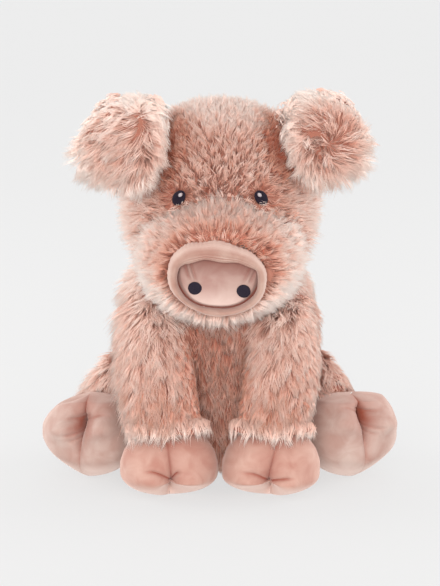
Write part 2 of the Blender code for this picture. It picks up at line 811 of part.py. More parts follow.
def half_loft(rows, side_vector, keep_front):
    """Half of a flat lofted lobe: the part in front of its middle sheet, or behind it."""
    rows = smooth_rows(rows, EAR_RINGS)
    centres = rows[:, :3]
    tangents = unit(np.gradient(centres, axis=0))
    ups = unit(np.cross(tangents, side_vector))
    sides = unit(np.cross(ups, tangents))
    facing = 1.0 if (ups[-1, 1] < 0) == keep_front else -1.0
    bend = np.arange(1, EAR_CAP_RINGS + 1) / (EAR_CAP_RINGS + 1) * math.pi / 2
    before = centres[0] - tangents[0] * EAR_ROOT_RADIUS * np.sin(bend)[::-1, None]
    after = centres[-1] + tangents[-1] * EAR_TIP_ROUNDING * np.sin(bend)[:, None]
    shrink = np.concatenate([np.cos(bend)[::-1], np.ones(len(rows)), np.cos(bend)])
    last = np.full(EAR_CAP_RINGS, len(rows) - 1)
    pick = np.concatenate([np.zeros(EAR_CAP_RINGS, int), np.arange(len(rows)), last])
    centres = np.vstack([before, centres, after])
    turn = np.linspace(0, math.pi, EAR_AROUND)
    width = (rows[pick, 3] * shrink)[:, None] * np.cos(turn)
    height = (rows[pick, 4] * shrink)[:, None] * np.sin(turn)
    rings = (
        centres[:, None]
        + sides[pick][:, None] * width[..., None]
        + ups[pick][:, None] * facing * (height + GAP / 2)[..., None]
    )
    shift = ups * facing * GAP / 2
    first_pole = rows[0, :3] - tangents[0] * EAR_ROOT_RADIUS + shift[0]
    last_pole = rows[-1, :3] + tangents[-1] * EAR_TIP_ROUNDING + shift[-1]
    return closed_rings(rings, first_pole, last_pole)


def build_ear(side):
    """The front and the back panel of one ear, sewn together round their edge."""
    shares = LEFT_EAR_ACROSS_SHARES if side == LEFT else RIGHT_EAR_ACROSS_SHARES
    across = unit(np.array([side * shares[0], shares[1], shares[2]]) * (1.0, -1.0, 1.0))
    rows = ear_rows(side)
    name = SIDE_NAMES[side]
    front = add_solid(f"ear_front_{name}", half_loft(rows, across, True), long_pile_plush())
    back = add_solid(f"ear_back_{name}", half_loft(rows, across, False), long_pile_plush())
    return [front, back]


# Forelegs


def foreleg_top():
    """Height of the shoulder inside the sleeve's root."""
    return NECK_HEIGHT - FORELEG_DROP


def foreleg_rows(side):
    """Centre line and half-sizes of one foreleg, from its shoulder to its hem."""
    return np.array(
        [
            (
                side * blend(FORELEG_SPREAD, FORE_TROTTER_SPREAD, spread),
                -blend(FORELEG_FORWARD, FORE_TROTTER_FORWARD, ahead),
                blend(foreleg_top(), FORE_HEM_HEIGHT, drop),
                FORELEG_HALF_WIDTH * width,
                FORELEG_HALF_DEPTH * depth,
            )
            for spread, ahead, drop, width, depth in FORELEG_SHARES
        ]
    )


def fore_trotter_rows(side):
    """Centre line, half-sizes and cleft of one fore trotter, from its hem to its sole."""
    return np.array(
        [
            (
                side * FORE_TROTTER_SPREAD,
                -FORE_TROTTER_FORWARD,
                FORE_HEM_HEIGHT * height - GAP * (height == 1.0),
                FORE_TROTTER_HALF_WIDTH * width,
                FORE_TROTTER_HALF_DEPTH * depth,
                CLEFT_DEPTH * cleft,
            )
            for height, width, depth, cleft in FORE_TROTTER_SHARES
        ]
    )


def sleeve_skin(rows, across, root_cap, inset=0.0):
    """A furry sleeve's skin, rounded at its root inside the torso and running past its hem."""
    return loft(rows, across, LIMB_AROUND, LIMB_RINGS, root_cap - inset, CUT_OVERRUN, inset)


def trotter_skin(rows, across, sole_cap, cleft_angle, inset=0.0):
    """A trotter's skin with its cleft, drawn in by an inset."""
    start_cap = CUT_OVERRUN + inset
    return loft(rows, across, TROTTER_AROUND, TROTTER_RINGS, start_cap, sole_cap - inset, inset, cleft_angle)


def build_foreleg(side, cutters):
    """One foreleg: furry sleeve, smooth trotter with its cleft, and the stuffing of both."""
    name = SIDE_NAMES[side]
    half = CUTTER_SPAN / 2
    across = (1.0, 0.0, 0.0)
    leg_rows = foreleg_rows(side)
    leg_skin = sleeve_skin(leg_rows, across, SHOULDER_ROUNDING)
    sleeve = add_solid(f"foreleg_cover_{name}", leg_skin, long_pile_plush())
    hem = add_box_cutter(f"fore_hem_{name}", (-half, -half, -half), (half, half, FORE_HEM_HEIGHT))
    cavity_skin = sleeve_skin(leg_rows, across, SHOULDER_ROUNDING, PILE_WALL)
    cavity = add_cutter(f"foreleg_cavity_{name}", cavity_skin)
    cut(sleeve, cutters["torso"], hem, cavity)
    top = FORE_HEM_HEIGHT - GAP
    above = add_box_cutter(f"fore_top_{name}", (-half, -half, top), (half, half, half))
    rows = fore_trotter_rows(side)
    sole = rows[-1, 2] + FLOOR_SINK
    foot_shape = (rows, across, sole, math.pi / 2)
    trotter = add_solid(f"fore_trotter_{name}", trotter_skin(*foot_shape), smooth_plush())
    inner = add_cutter(f"fore_trotter_cavity_{name}", trotter_skin(*foot_shape, SMOOTH_WALL))
    cut(trotter, above, inner, cutters["floor"])
    leg_fill_skin = sleeve_skin(leg_rows, across, SHOULDER_ROUNDING, PILE_WALL + GAP)
    leg_fill = add_solid(f"foreleg_stuffing_{name}", leg_fill_skin, polyester_fibre())
    cut(leg_fill, cutters["torso"], hem)
    foot_fill_skin = trotter_skin(*foot_shape, SMOOTH_WALL + GAP)
    foot_fill = add_solid(f"fore_trotter_stuffing_{name}", foot_fill_skin, polyester_fibre())
    cut(foot_fill, above)
    return [sleeve, trotter, leg_fill, foot_fill]


def foreleg_pivot(side):
    """Point on the shoulder's hinge line, which runs from front to back above the sleeve."""
    return np.array([side * FORELEG_SPREAD, -FORELEG_FORWARD, foreleg_top() + FORELEG_HALF_DEPTH])


# Hind legs


def hind_direction(side):
    """Level direction in which a hind leg points, forwards and outwards."""
    return np.array([side * math.sin(HIND_SPLAY), -math.cos(HIND_SPLAY), 0.0])


def hind_rows(side):
    """Centre line and half-sizes of one hind leg, from its hip to its ankle."""
    hip = np.array([side * (HIP_HALF_WIDTH - HIND_INSET), HIND_SETBACK, 0.0])
    rows = []
    for share, size, height in HIND_SHARES:
        centre = hip + hind_direction(side) * HIND_LENGTH * share
        half = HIND_HALF_WIDTH * size
        rows.append((centre[0], centre[1], HIND_HEIGHT * height, half, half))
    return np.array(rows)


def hind_trotter_rows(side):
    """Centre line, half-sizes and cleft of one hind trotter, from its ankle to its toes."""
    ankle = hind_rows(side)[-1, :3]
    length = HIND_TROTTER_LENGTH - HIND_TROTTER_ROUNDING
    rows = []
    for share, size, cleft in HIND_TROTTER_SHARES:
        centre = ankle + hind_direction(side) * (GAP + length * share)
        half = HIND_TROTTER_HALF_WIDTH * size
        height = blend(ankle[2], half - HIND_TROTTER_SINK, min(2 * share, 1.0))
        rows.append((centre[0], centre[1], height, half, half, CLEFT_DEPTH * cleft))
    return np.array(rows)


def plane_cutter(name, point, direction):
    """Everything on the far side of an upright plane, in a level direction."""
    direction = unit(direction)
    half = CUTTER_SPAN / 2
    item = add_box_cutter(name, (0.0, -half, -half), (half, half, half))
    item.location = (point[0], point[1], 0.0)
    item.rotation_euler = (0.0, 0.0, math.atan2(direction[1], direction[0]))
    return item


def build_hind_leg(side, cutters):
    """One hind leg: furry sleeve, smooth trotter with its cleft, and the stuffing of both."""
    name = SIDE_NAMES[side]
    direction = hind_direction(side)
    across = np.cross(direction, (0.0, 0.0, 1.0))
    rows = hind_rows(side)
    ankle = rows[-1, :3]
    past_ankle = plane_cutter(f"past_ankle_{name}", ankle, direction)
    before_ankle = plane_cutter(f"before_ankle_{name}", ankle + direction * GAP, -direction)
    cavity_skin = sleeve_skin(rows, across, HAUNCH_ROUNDING, PILE_WALL)
    cavity = add_cutter(f"hind_leg_cavity_{name}", cavity_skin)
    leg_skin = sleeve_skin(rows, across, HAUNCH_ROUNDING)
    sleeve = add_solid(f"hind_leg_cover_{name}", leg_skin, long_pile_plush())
    cut(sleeve, cutters["torso"], past_ankle, cavity)
    foot_shape = (hind_trotter_rows(side), across, HIND_TROTTER_ROUNDING, -math.pi / 2)
    trotter = add_solid(f"hind_trotter_{name}", trotter_skin(*foot_shape), smooth_plush())
    inner = add_cutter(f"hind_trotter_cavity_{name}", trotter_skin(*foot_shape, SMOOTH_WALL))
    cut(trotter, before_ankle, inner, cutters["floor"])
    leg_fill_skin = sleeve_skin(rows, across, HAUNCH_ROUNDING, PILE_WALL + GAP)
    leg_fill = add_solid(f"hind_leg_stuffing_{name}", leg_fill_skin, polyester_fibre())
    cut(leg_fill, cutters["torso"], past_ankle)
    foot_fill_skin = trotter_skin(*foot_shape, SMOOTH_WALL + GAP)
    foot_fill = add_solid(f"hind_trotter_stuffing_{name}", foot_fill_skin, polyester_fibre())
    cut(foot_fill, before_ankle)
    return [sleeve, trotter, leg_fill, foot_fill]


def hind_pivot(side):
    """Point on the hip's upright hinge line, at the back edge of what the haunch meets."""
    across = side * HIP_HALF_WIDTH * math.sin(HIP_HINGE_ANGLE)
    back = SEAT_SETBACK + HIP_HALF_DEPTH * math.cos(HIP_HINGE_ANGLE)
    return np.array([across, back, HIND_HEIGHT])


# Tail


def tail_root():
    """Centre of the tail's rolled root, seated on the torso's back."""
    place, normal = back_surface(TAIL_HEIGHT)
    return seated(torso_skin(), place, normal, TAIL_RADIUS)


def tail_skin():
    """The skin of a short curled tail, one turn of a stuffed tube."""
    root = tail_root()
    share = np.linspace(0, 1, TAIL_STEPS)
    turn = share * TAIL_TURNS * 2 * math.pi
    radius = TAIL_CURL_RADIUS * np.minimum(TAIL_START_SHARE + 2 * share, 1.0)
    rows = np.zeros((TAIL_STEPS, 5))
    rows[:, 0] = root[0] + radius * np.sin(turn)
    rows[:, 1] = root[1] + TAIL_CURL_PITCH * share * TAIL_TURNS
    rows[:, 2] = root[2] + TAIL_CURL_RADIUS * TAIL_START_SHARE - radius * np.cos(turn)
    rows[:, 3] = TAIL_RADIUS * (1 - TAIL_TAPER_SHARE * share)
    rows[:, 4] = rows[:, 3]
    return loft(rows, (0.0, 1.0, 0.0), TAIL_AROUND, TAIL_STEPS, TAIL_RADIUS, TAIL_RADIUS)


def base_shift():
    """How far the pig moves along Y so that its origin lies under the middle of its depth."""
    front = snout_centre()[1] - SNOUT_RIM_HALF_DEPTH
    back = tail_skin()[0][:, 1].max()
    return -(front + back) / 2


def build_pig():
    """Every piece of the pig, with each moving group's origin on its own joint."""
    clear_scene()
    cutters = {
        "floor": floor_cutter(),
        "torso": add_cutter("torso_clearance", grown(torso_skin(), GAP)),
        "head": add_cutter("head_clearance", grown(head_skin(), GAP)),
        "socket": add_cutter("neck_socket_cutter", neck_socket()),
    }
    build_torso(cutters)
    head = build_head(cutters) + build_muzzle(cutters) + build_snout()
    for side in (LEFT, RIGHT):
        head += build_eye(side)
        head.append(build_nostril(side))
        for piece in build_ear(side):
            place_on_axis(piece, ear_root(side))
        for piece in build_foreleg(side, cutters):
            place_on_axis(piece, foreleg_pivot(side))
        for piece in build_hind_leg(side, cutters):
            place_on_axis(piece, hind_pivot(side))
    for piece in head:
        place_on_axis(piece, (0.0, 0.0, NECK_HEIGHT))
    place_on_axis(add_solid("tail", tail_skin(), long_pile_plush()), tail_root())
    for item in bpy.data.objects:
        item.location.y += base_shift()


build_pig()
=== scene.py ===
"""Dresses the plush pig: shaggy pile, velour feet and snout, stitched eyes, camera and light.

The CAD covers give every place and size. The pile is real geometry: closed, pointed strands that
grow out of a cloth ground, are combed along each part and gather into tufts.
"""

import json
import logging
import math
from collections.abc import Callable, Iterable
from dataclasses import dataclass
from enum import Enum

import bpy
import numpy as np
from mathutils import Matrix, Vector
from mathutils.bvhtree import BVHTree
from mathutils.kdtree import KDTree


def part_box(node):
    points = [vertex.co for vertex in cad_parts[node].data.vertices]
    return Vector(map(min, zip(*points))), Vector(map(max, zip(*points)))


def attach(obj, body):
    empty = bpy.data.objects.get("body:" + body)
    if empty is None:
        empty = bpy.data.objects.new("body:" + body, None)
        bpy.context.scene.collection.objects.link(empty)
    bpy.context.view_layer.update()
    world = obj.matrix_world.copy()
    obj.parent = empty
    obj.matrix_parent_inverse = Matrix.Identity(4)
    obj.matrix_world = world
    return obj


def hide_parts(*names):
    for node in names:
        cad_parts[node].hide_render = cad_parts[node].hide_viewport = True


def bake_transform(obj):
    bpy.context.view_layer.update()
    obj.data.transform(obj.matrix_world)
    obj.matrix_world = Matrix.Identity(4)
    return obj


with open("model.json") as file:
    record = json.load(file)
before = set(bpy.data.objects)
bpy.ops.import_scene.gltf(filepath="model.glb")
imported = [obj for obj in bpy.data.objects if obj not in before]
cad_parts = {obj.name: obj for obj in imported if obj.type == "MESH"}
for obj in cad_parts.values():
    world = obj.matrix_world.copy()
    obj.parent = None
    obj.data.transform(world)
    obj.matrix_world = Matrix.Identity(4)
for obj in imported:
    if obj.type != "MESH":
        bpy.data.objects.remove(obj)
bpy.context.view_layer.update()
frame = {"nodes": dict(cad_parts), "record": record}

log = logging.getLogger("plush_pig")
Points = np.ndarray

# Pile
PILE_DEPTH = 0.0058
ROUNDING = 0.75
REFINEMENTS = 2
EAR_EDGE_SETBACK = 0.004
EAR_CROWN_REACH = 0.016
EAR_CREASE_REACH = 0.022
EAR_CLOTH_SHARE = 0.80
PARTING_WIDTH = 0.006
SHOULDER_FLUFF = 0.2
HEM_REACH = 0.018
HEM_SETBACK = 0.006
PRESSED_SIDE = 0.50
CLOTH_THICKNESS = 0.0008
SEAM_CLEARANCE = 0.0010
FOLLOWING_REACH = 0.014
RELAXING_ROUNDS = 6
CLOTH_SPIKE = 0.0012
STRAND_RADIUS = 0.00029
FLOOR_CLEARANCE = 0.0004
FLOOR_LAYER = 0.0016
STRAND_CORNERS = 3
TONE_HALF_SPREAD = 0.015
SHADE_SHARE = 0.25
PIECE_TRIANGLES = 190_000
# Places of the yarn's colours from root to tip; the darker roots are partly painted shade.
YARN_STOPS = (0.0, 0.45, 1.0)

# Sockets of a colour mix
MIX_FIRST = 6
MIX_SECOND = 7
MIX_RESULT = 2

# Snout: contours as offsets from the CAD rim's middle
RIM_HALF_WIDTH = 0.0335
RIM_UPPER_HEIGHT = 0.0260
RIM_LOWER_HEIGHT = 0.0236
RIM_SHIFT = np.array([-0.0022, -0.0035])
RIM_TURN = math.radians(6.3)
CORNER_LIFT = 0.30
OPENING_HALF_WIDTH = 0.0266
OPENING_DEPTH = 0.0204
OPENING_SHIFT = np.array([-0.0013, -0.0018])
OPENING_CORNER = math.radians(14)
OPENING_ARCH = 0.0060
RIM_GAP = 0.0045
SNOUT_TILT = math.radians(3.5)
DISC_OVERLAP = 0.0022
DISC_GAP = 0.0010
DISC_TOP_RECESS = 0.0085
DISC_CROWN = 0.0022
DISC_EDGE_ROUNDING = 0.0042
WRINKLE_HEIGHT = 0.00048
FOLD_DEPTH = 0.0016
FOLD_PLACE = 0.0180
FOLD_BEND = 0.004
FOLD_WIDTH = 0.0012
FOLD_FOOT = (0.001, 0.005)
FOLD_HEAD = (0.012, 0.016)
DISC_FOLDS = ((-0.0014, 1.0), (0.0006, -0.5), (0.0028, 1.0))
DISC_RINGS = 75
FLANGE_RINGS = 7
FLANGE_STEP = 0.001

# Toes
CLEFT_PINCH = 0.0020
CLEFT_SWELL = 0.0105
CLEFT_LINE = 0.0010
CLEFT_SHADOW = 0.008
PUCKER_DEPTH = 0.0062
PUCKER_RADIUS = 0.0042
PUCKER_CORE = 0.0022
FILL_DIMPLE_WIDTH = 0.030
FILL_DIMPLE_HEIGHT = 0.016
HOLLOW_RADIUS = 0.0062
HOLLOW_SHADE = 125.0
TUCK_DEPTH = 0.0042
TUCK_WIDTH = 0.0016
TUCK_LINE = 0.0009
PAD_HEIGHT = 0.0080
PAD_WIDTH = 0.0130
PAD_MIDDLE = 0.011
PAD_EDGE = 0.004
# Painted light: how much paler the band above the sole is painted.
PAINTED_SOLE_LIGHT = 0.55
SOLE_NOTCH = 0.0060
FRONT_CROWDING = 1.7
VELOUR_THICKNESS = 0.0024
HIND_FACING = math.radians(14)

# Stitches
THREAD_WIDTH = 0.00042
THREAD_RELIEF = 0.00010
PATCH_CORNERS = 72
PATCH_RINGS = 18
STITCH_DOME = 0.0012
EYE_HALF_LENGTH = 0.0060
EYE_HALF_WIDTH = 0.0043
EYE_TILT = math.radians(48)
EYE_LIFT = 0.0018
GLINT_SHIFT = 0.0020
GLINT_HALF_LENGTH = 0.0015
GLINT_HALF_WIDTH = 0.0011
GLINT_DOME = 0.0005
NOSTRIL_HALF_WIDTH = 0.0047
NOSTRIL_HALF_HEIGHT = 0.0043
NOSTRIL_DROP = 0.0012
NOSTRIL_TILT = -0.35
NOSTRIL_DOME = 0.0007
EYE_CLEARING = 0.0060
EYE_SWIRL_REACH = 0.0160
MUZZLE_EYE_REACH = 0.0280
EYE_INSET = 0.0016

# Camera and stage
CAMERA_DISTANCE = 2.2
CAMERA_ELEVATION = math.radians(10)
VIEW_WIDTH = 0.3077
VIEW_CENTRE_HEIGHT = 0.1284
SENSOR_WIDTH = 0.036
FLOOR_SIZE = 60.0
TABLE_GLOW = 0.648
SURROUND_LIGHT = 1.25
SOFTBOX_SIZE = 0.9
FRONT_LIGHT = 40.0
FRONT_LIGHT_PLACE = (-0.12, -2.3, 0.48)
RIM_LIGHT = 9.0
RIM_LIGHT_OUT = 1.3
RIM_LIGHT_BACK = 0.5
RIM_LIGHT_HEIGHT = 0.5

WORLD_UP = np.array([0.0, 0.0, 1.0])


class Side(Enum):
    """The two sides, named as someone who looks at the pig's face sees them."""

    LEFT = "left"
    RIGHT = "right"

    @property
    def sign(self) -> int:
        """-1 for the left side, 1 for the right."""
        return -1 if self is Side.LEFT else 1


# Colours


def linear(colour: str) -> tuple[float, float, float, float]:
    """An sRGB hex colour as linear red, green, blue and alpha.

    Args:
        colour: Six hex digits after a hash sign.

    Returns:
        The four linear values that a shader socket takes.
    """
    values = [int(colour[place : place + 2], 16) / 255 for place in (1, 3, 5)]
    bent = [v / 12.92 if v <= 0.04045 else ((v + 0.055) / 1.055) ** 2.4 for v in values]
    return (bent[0], bent[1], bent[2], 1.0)


# Vectors and surfaces


def unit(vectors: Points) -> Points:
    """The vectors at length one."""
    vectors = np.asarray(vectors, float)
    return vectors / np.maximum(np.linalg.norm(vectors, axis=-1, keepdims=True), 1e-12)


def dot(first: Points, second: Points) -> Points:
    """Row-wise dot product, kept as a column."""
    return (first * second).sum(axis=-1, keepdims=True)


def smoothstep(low: float, high: float, value: Points) -> Points:
    """0 below low, 1 above high, and a smooth turn between them."""
    share = np.clip((np.asarray(value) - low) / (high - low), 0, 1)
    return share * share * (3 - 2 * share)


def along_surface(vectors: Points, normals: Points) -> Points:
    """The vectors laid flat on the surface, at length one."""
    return unit(vectors - normals * dot(vectors, normals))


@dataclass(frozen=True)
class Skin:
    """A surface as points and triangles."""

    points: Points
    faces: Points

    @staticmethod
    def of_node(name: str) -> "Skin":
        """The merged triangles of a CAD node."""
        mesh = frame["nodes"][name].data
        mesh.calc_loop_triangles()
        corners = np.empty(len(mesh.loop_triangles) * 3, np.int32)
        mesh.loop_triangles.foreach_get("vertices", corners)
        flat = np.empty(len(mesh.vertices) * 3)
        mesh.vertices.foreach_get("co", flat)
        merged, index = np.unique(np.round(flat.reshape(-1, 3), 6), axis=0, return_inverse=True)
        faces = index.reshape(-1)[corners].reshape(-1, 3)
        split = (faces != np.roll(faces, 1, axis=1)).all(axis=1)
        return Skin(merged, faces[split])

    def crosses(self) -> Points:
        """Each triangle's normal, twice as long as its area."""
        a, b, c = (self.points[self.faces[:, corner]] for corner in range(3))
        return np.cross(b - a, c - a)

    def centres(self) -> Points:
        """Middle of each triangle."""
        return self.points[self.faces].mean(axis=1)

    def point_normals(self) -> Points:
        """Outward direction at each point, from the triangles that meet there."""
        total = np.zeros_like(self.points)
        crosses = self.crosses()
        for corner in range(3):
            np.add.at(total, self.faces[:, corner], crosses)
        return unit(total)

    def kept(self, mask: Points) -> "Skin":
        """Only the triangles that the mask keeps."""
        return Skin(self.points, self.faces[mask])

    def refined(self) -> "Skin":
        """The surface with each triangle cut in four and rounded between its corners."""
        edges = np.sort(np.vstack([self.faces[:, [i, (i + 1) % 3]] for i in range(3)]), axis=1)
        ends, index = np.unique(edges, axis=0, return_inverse=True)
        normals = self.point_normals()
        flat = self.points[ends].mean(axis=1)
        lifts = [normals[end] * dot(flat - self.points[end], normals[end]) for end in ends.T]
        middles = flat - (lifts[0] + lifts[1]) / 2 * ROUNDING
        ab, bc, ca = (index.reshape(3, -1) + len(self.points))
        a, b, c = self.faces.T
        corners = [(a, ab, ca), (ab, b, bc), (ca, bc, c), (ab, bc, ca)]
        faces = np.vstack([np.stack(row, axis=1) for row in corners])
        return Skin(np.vstack([self.points, middles]), faces)

    def extent(self, direction: Points) -> tuple[float, float]:
        """Least and greatest reach along a direction."""
        reach = self.points @ np.asarray(direction, float)
        return float(reach.min()), float(reach.max())

    def sample(self, density: float, rng: np.random.Generator) -> tuple[Points, Points]:
        """Random places on the surface.

        Args:
            density: Places for each square metre.
            rng: Source of the random numbers.

        Returns:
            The places and the outward directions there.
        """
        areas = np.linalg.norm(self.crosses(), axis=1) / 2
        count = int(areas.sum() * density)
        chosen = rng.choice(len(areas), count, p=areas / areas.sum())
        root = np.sqrt(rng.random(count))
        second = rng.random(count)
        weights = np.stack([1 - root, root * (1 - second), root * second], axis=1)[..., None]
        normals = self.point_normals()[self.faces[chosen]]
        places = (self.points[self.faces[chosen]] * weights).sum(axis=1)
        return places, unit((normals * weights).sum(axis=1))


@dataclass(frozen=True)
class Neighbours:
    """Some of the CAD solids, to measure distances to them."""

    tree: BVHTree

    @staticmethod
    def around(*names: str) -> "Neighbours":
        """Every solid but these and the flat stitched patches."""
        others = (node for node in frame["nodes"] if not node.startswith(("eye", "nostril")))
        return Neighbours.of_nodes(*(node for node in others if node not in names))

    @staticmethod
    def of_nodes(*names: str) -> "Neighbours":
        """These solids."""
        points, faces, start = [], [], 0
        for name in names:
            skin = Skin.of_node(name)
            points.append(skin.points)
            faces.append(skin.faces + start)
            start += len(skin.points)
        return Neighbours(BVHTree.FromPolygons(np.vstack(points).tolist(), np.vstack(faces).tolist()))

    def distances(self, points: Points) -> Points:
        """How far each point is from the nearest of them."""
        return np.array([self.tree.find_nearest(point)[3] for point in points.tolist()])

    def clear_of(self, skin: Skin) -> Points:
        """Which triangles of a skin have their middle or part of an edge away from all of them."""
        corners = skin.points[skin.faces]
        probes = [corners.mean(axis=1)]
        probes += [(corners[:, corner] + corners[:, corner - 1]) / 2 for corner in range(3)]
        return np.max([self.distances(probe) for probe in probes], axis=0) > SEAM_CLEARANCE


def mark_painted_shading(item: bpy.types.Object, depth: Points) -> None:
    """Keeps each point's painted shading for the material: 1 for painted shade, -1 for painted light."""
    layer = item.data.attributes.new("painted_shading", "FLOAT", "POINT")
    layer.data.foreach_set("value", np.clip(depth, -1, 1).astype(np.float32))


def add_mesh(name: str, points: Points, faces: Points, loop_uv: Points | None = None) -> bpy.types.Object:
    """A smooth-shaded object from points and faces of equal corner count.

    Args:
        name: The object's name.
        points: One row for each point.
        faces: One row of point indices for each face.
        loop_uv: One row of UV coordinates for each face corner, if the material reads them.

    Returns:
        The new object, at the origin.
    """
    mesh = bpy.data.meshes.new(name)
    mesh.vertices.add(len(points))
    mesh.vertices.foreach_set("co", np.asarray(points, np.float32).ravel())
    mesh.loops.add(faces.size)
    mesh.loops.foreach_set("vertex_index", np.asarray(faces, np.int32).ravel())
    mesh.polygons.add(len(faces))
    mesh.polygons.foreach_set("loop_start", np.arange(0, faces.size, faces.shape[1], dtype=np.int32))
    if loop_uv is not None:
        layer = mesh.uv_layers.new(name="OFBake")
        layer.uv.foreach_set("vector", np.asarray(loop_uv, np.float32).ravel())
    mesh.update(calc_edges=True)
    mesh.validate()
    mesh.shade_smooth()
    item = bpy.data.objects.new(name, mesh)
    bpy.context.collection.objects.link(item)
    return item


def grid_faces(rows: int, columns: int) -> Points:
    """Quads over a grid of points that closes on itself from its last column to its first."""
    index = np.arange(rows * columns).reshape(rows, columns)
    turned = np.roll(index, -1, axis=1)
    return np.stack([index[:-1], turned[:-1], turned[1:], index[1:]], axis=-1).reshape(-1, 4)


def closed_surface(rings: Points) -> tuple[Points, Points]:
    """Points and outward triangles of rings that close in a pole at each end.

    Args:
        rings: Rows, columns and 3 or more values; the first and the last row are drawn in to a point.

    Returns:
        Points and triangles.
    """
    rows, columns = rings.shape[:2]
    points = rings.reshape(rows * columns, -1)
    quads = grid_faces(rows, columns)
    faces = np.vstack([quads[:, [0, 1, 2]], quads[:, [0, 2, 3]]])
    merge = np.arange(rows * columns)
    merge[:columns] = 0
    merge[-columns:] = (rows - 1) * columns
    faces = merge[faces]
    faces = faces[(faces != np.roll(faces, 1, axis=1)).all(axis=1)]
    used, faces = np.unique(faces, return_inverse=True)
    points = points[used]
    faces = faces.reshape(-1, 3)
    corners = points[faces][..., :3]
    volume = np.einsum("ij,ij->", corners[:, 0], np.cross(corners[:, 1], corners[:, 2]))
    return points, faces if volume > 0 else faces[:, ::-1]


# Finishes


def feed(tree: bpy.types.NodeTree, node: bpy.types.Node, inputs: dict[str | int, object]) -> None:
    """Links each named or numbered input of a node to a socket, or gives it a plain value."""
    for key, value in inputs.items():
        if isinstance(value, bpy.types.NodeSocket):
            tree.links.new(value, node.inputs[key])
        else:
            node.inputs[key].default_value = value


def add_node(
    tree: bpy.types.NodeTree,
    kind: str,
    inputs: dict[str | int, object] | None = None,
    stops: Iterable[tuple[float, str]] = (),
    **settings: object,
) -> bpy.types.Node:
    """Adds a shader node with its settings and links.

    Args:
        tree: The material's node tree.
        kind: The node's type.
        inputs: Sockets or values for its inputs.
        stops: Places and colours, if it is a colour ramp.
        settings: Its plain settings.

    Returns:
        The node.
    """
    made = tree.nodes.new(kind)
    for key, value in settings.items():
        setattr(made, key, value)
    feed(tree, made, inputs or {})
    for index, (place, colour) in enumerate(stops):
        elements = made.color_ramp.elements
        element = elements[index] if index < len(elements) else elements.new(place)
        element.position = place
        element.color = linear(colour)
    return made


@dataclass(frozen=True)
class Finish:
    """One real material and how its surface was made.

    Attributes:
        name: The material's name.
    """

    name: str

    def surface(self, tree: bpy.types.NodeTree) -> dict[str, object]:
        """The shader's inputs: the sockets that feed them, or plain values."""
        raise NotImplementedError

    def material(self) -> bpy.types.Material:
        """The finish as a material."""
        made = bpy.data.materials.new(self.name)
        made.use_nodes = True
        tree = made.node_tree
        feed(tree, tree.nodes["Principled BSDF"], self.surface(tree))
        return made

    @staticmethod
    def mixed(
        tree: bpy.types.NodeTree,
        value: bpy.types.NodeSocket,
        span: tuple[float, float],
        colours: tuple[object, object],
    ) -> bpy.types.NodeSocket:
        """A colour that turns from the first to the second as a value goes through a span.

        Args:
            tree: The material's node tree.
            value: What turns it.
            span: The value at the first colour and at the second.
            colours: The two colours, as sockets or plain values.

        Returns:
            The mixed colour's socket.
        """
        bounds = {"Value": value, "From Min": span[0], "From Max": span[1]}
        share = add_node(tree, "ShaderNodeMapRange", bounds).outputs["Result"]
        inputs = {0: share, MIX_FIRST: colours[0], MIX_SECOND: colours[1]}
        return add_node(tree, "ShaderNodeMix", inputs, data_type="RGBA").outputs[MIX_RESULT]

    @staticmethod
    def noise(
        tree: bpy.types.NodeTree, scale: float, detail: float, **more: float
    ) -> bpy.types.NodeSocket:
        """Cloudy noise over the piece's own coordinates.

        Args:
            tree: The material's node tree.
            scale: Cycles per metre.
            detail: How many finer layers it has.
            more: Further inputs of the noise.

        Returns:
            The noise's socket.
        """
        place = add_node(tree, "ShaderNodeTexCoord").outputs["Object"]
        inputs = {"Vector": place, "Scale": scale, "Detail": detail, **more}
        return add_node(tree, "ShaderNodeTexNoise", inputs).outputs["Fac"]


@dataclass(frozen=True)
class PileYarn(Finish):
    """Brushed polyester pile: deep at its root and pale at its tip, each tuft with its own tone.

    U of the strand's map is its tone, shaded below the shade share, and V is the place along it.
    Its soft filaments look dull, with a faint sheen. Its deep roots and pale tips are partly tipped yarn and
    partly painted shade and light.

    Attributes:
        shade: Painted shade: colours from root to tip of pile that lies in the shade of creases.
        deep: The same for the deepest tone.
        pale: The same for the palest tone.
    """

    shade: tuple[str, str, str]
    deep: tuple[str, str, str]
    pale: tuple[str, str, str]

    def surface(self, tree: bpy.types.NodeTree) -> dict[str, object]:
        """The shader's inputs: the sockets that feed them, or plain values."""
        place = add_node(tree, "ShaderNodeUVMap", uv_map="OFBake").outputs["UV"]
        split = add_node(tree, "ShaderNodeSeparateXYZ", {"Vector": place})
        along = {"Fac": split.outputs["Y"]}
        shade, deep, pale = (
            add_node(tree, "ShaderNodeValToRGB", along, zip(YARN_STOPS, row)).outputs["Color"]
            for row in (self.shade, self.deep, self.pale)
        )
        tone = split.outputs["X"]
        colour = self.mixed(tree, tone, (0.0, SHADE_SHARE), (shade, deep))
        return {
            "Base Color": self.mixed(tree, tone, (SHADE_SHARE, 1.0), (colour, pale)),
            "Roughness": 0.62,
            "Specular IOR Level": 0.28,
            "Sheen Weight": 0.15,
            "Sheen Roughness": 0.45,
            "Sheen Tint": linear("#ffe9dd"),
        }


@dataclass(frozen=True)
class KnittedGround(Finish):
    """Knitted backing cloth under the pile: matt, with its rows of loops and blotches of dye."""

    def surface(self, tree: bpy.types.NodeTree) -> dict[str, object]:
        """The shader's inputs: the sockets that feed them, or plain values."""
        loops = self.noise(tree, 900.0, 2.0)
        blotch = {"Fac": self.noise(tree, 60.0, 3.0)}
        dye = add_node(tree, "ShaderNodeValToRGB", blotch, ((0.3, "#98604f"), (0.7, "#aa7463")))
        relief = add_node(tree, "ShaderNodeBump", {"Height": loops, "Strength": 0.5, "Distance": 0.0004})
        return {"Base Color": dye.outputs["Color"], "Normal": relief.outputs["Normal"], "Roughness": 0.95}


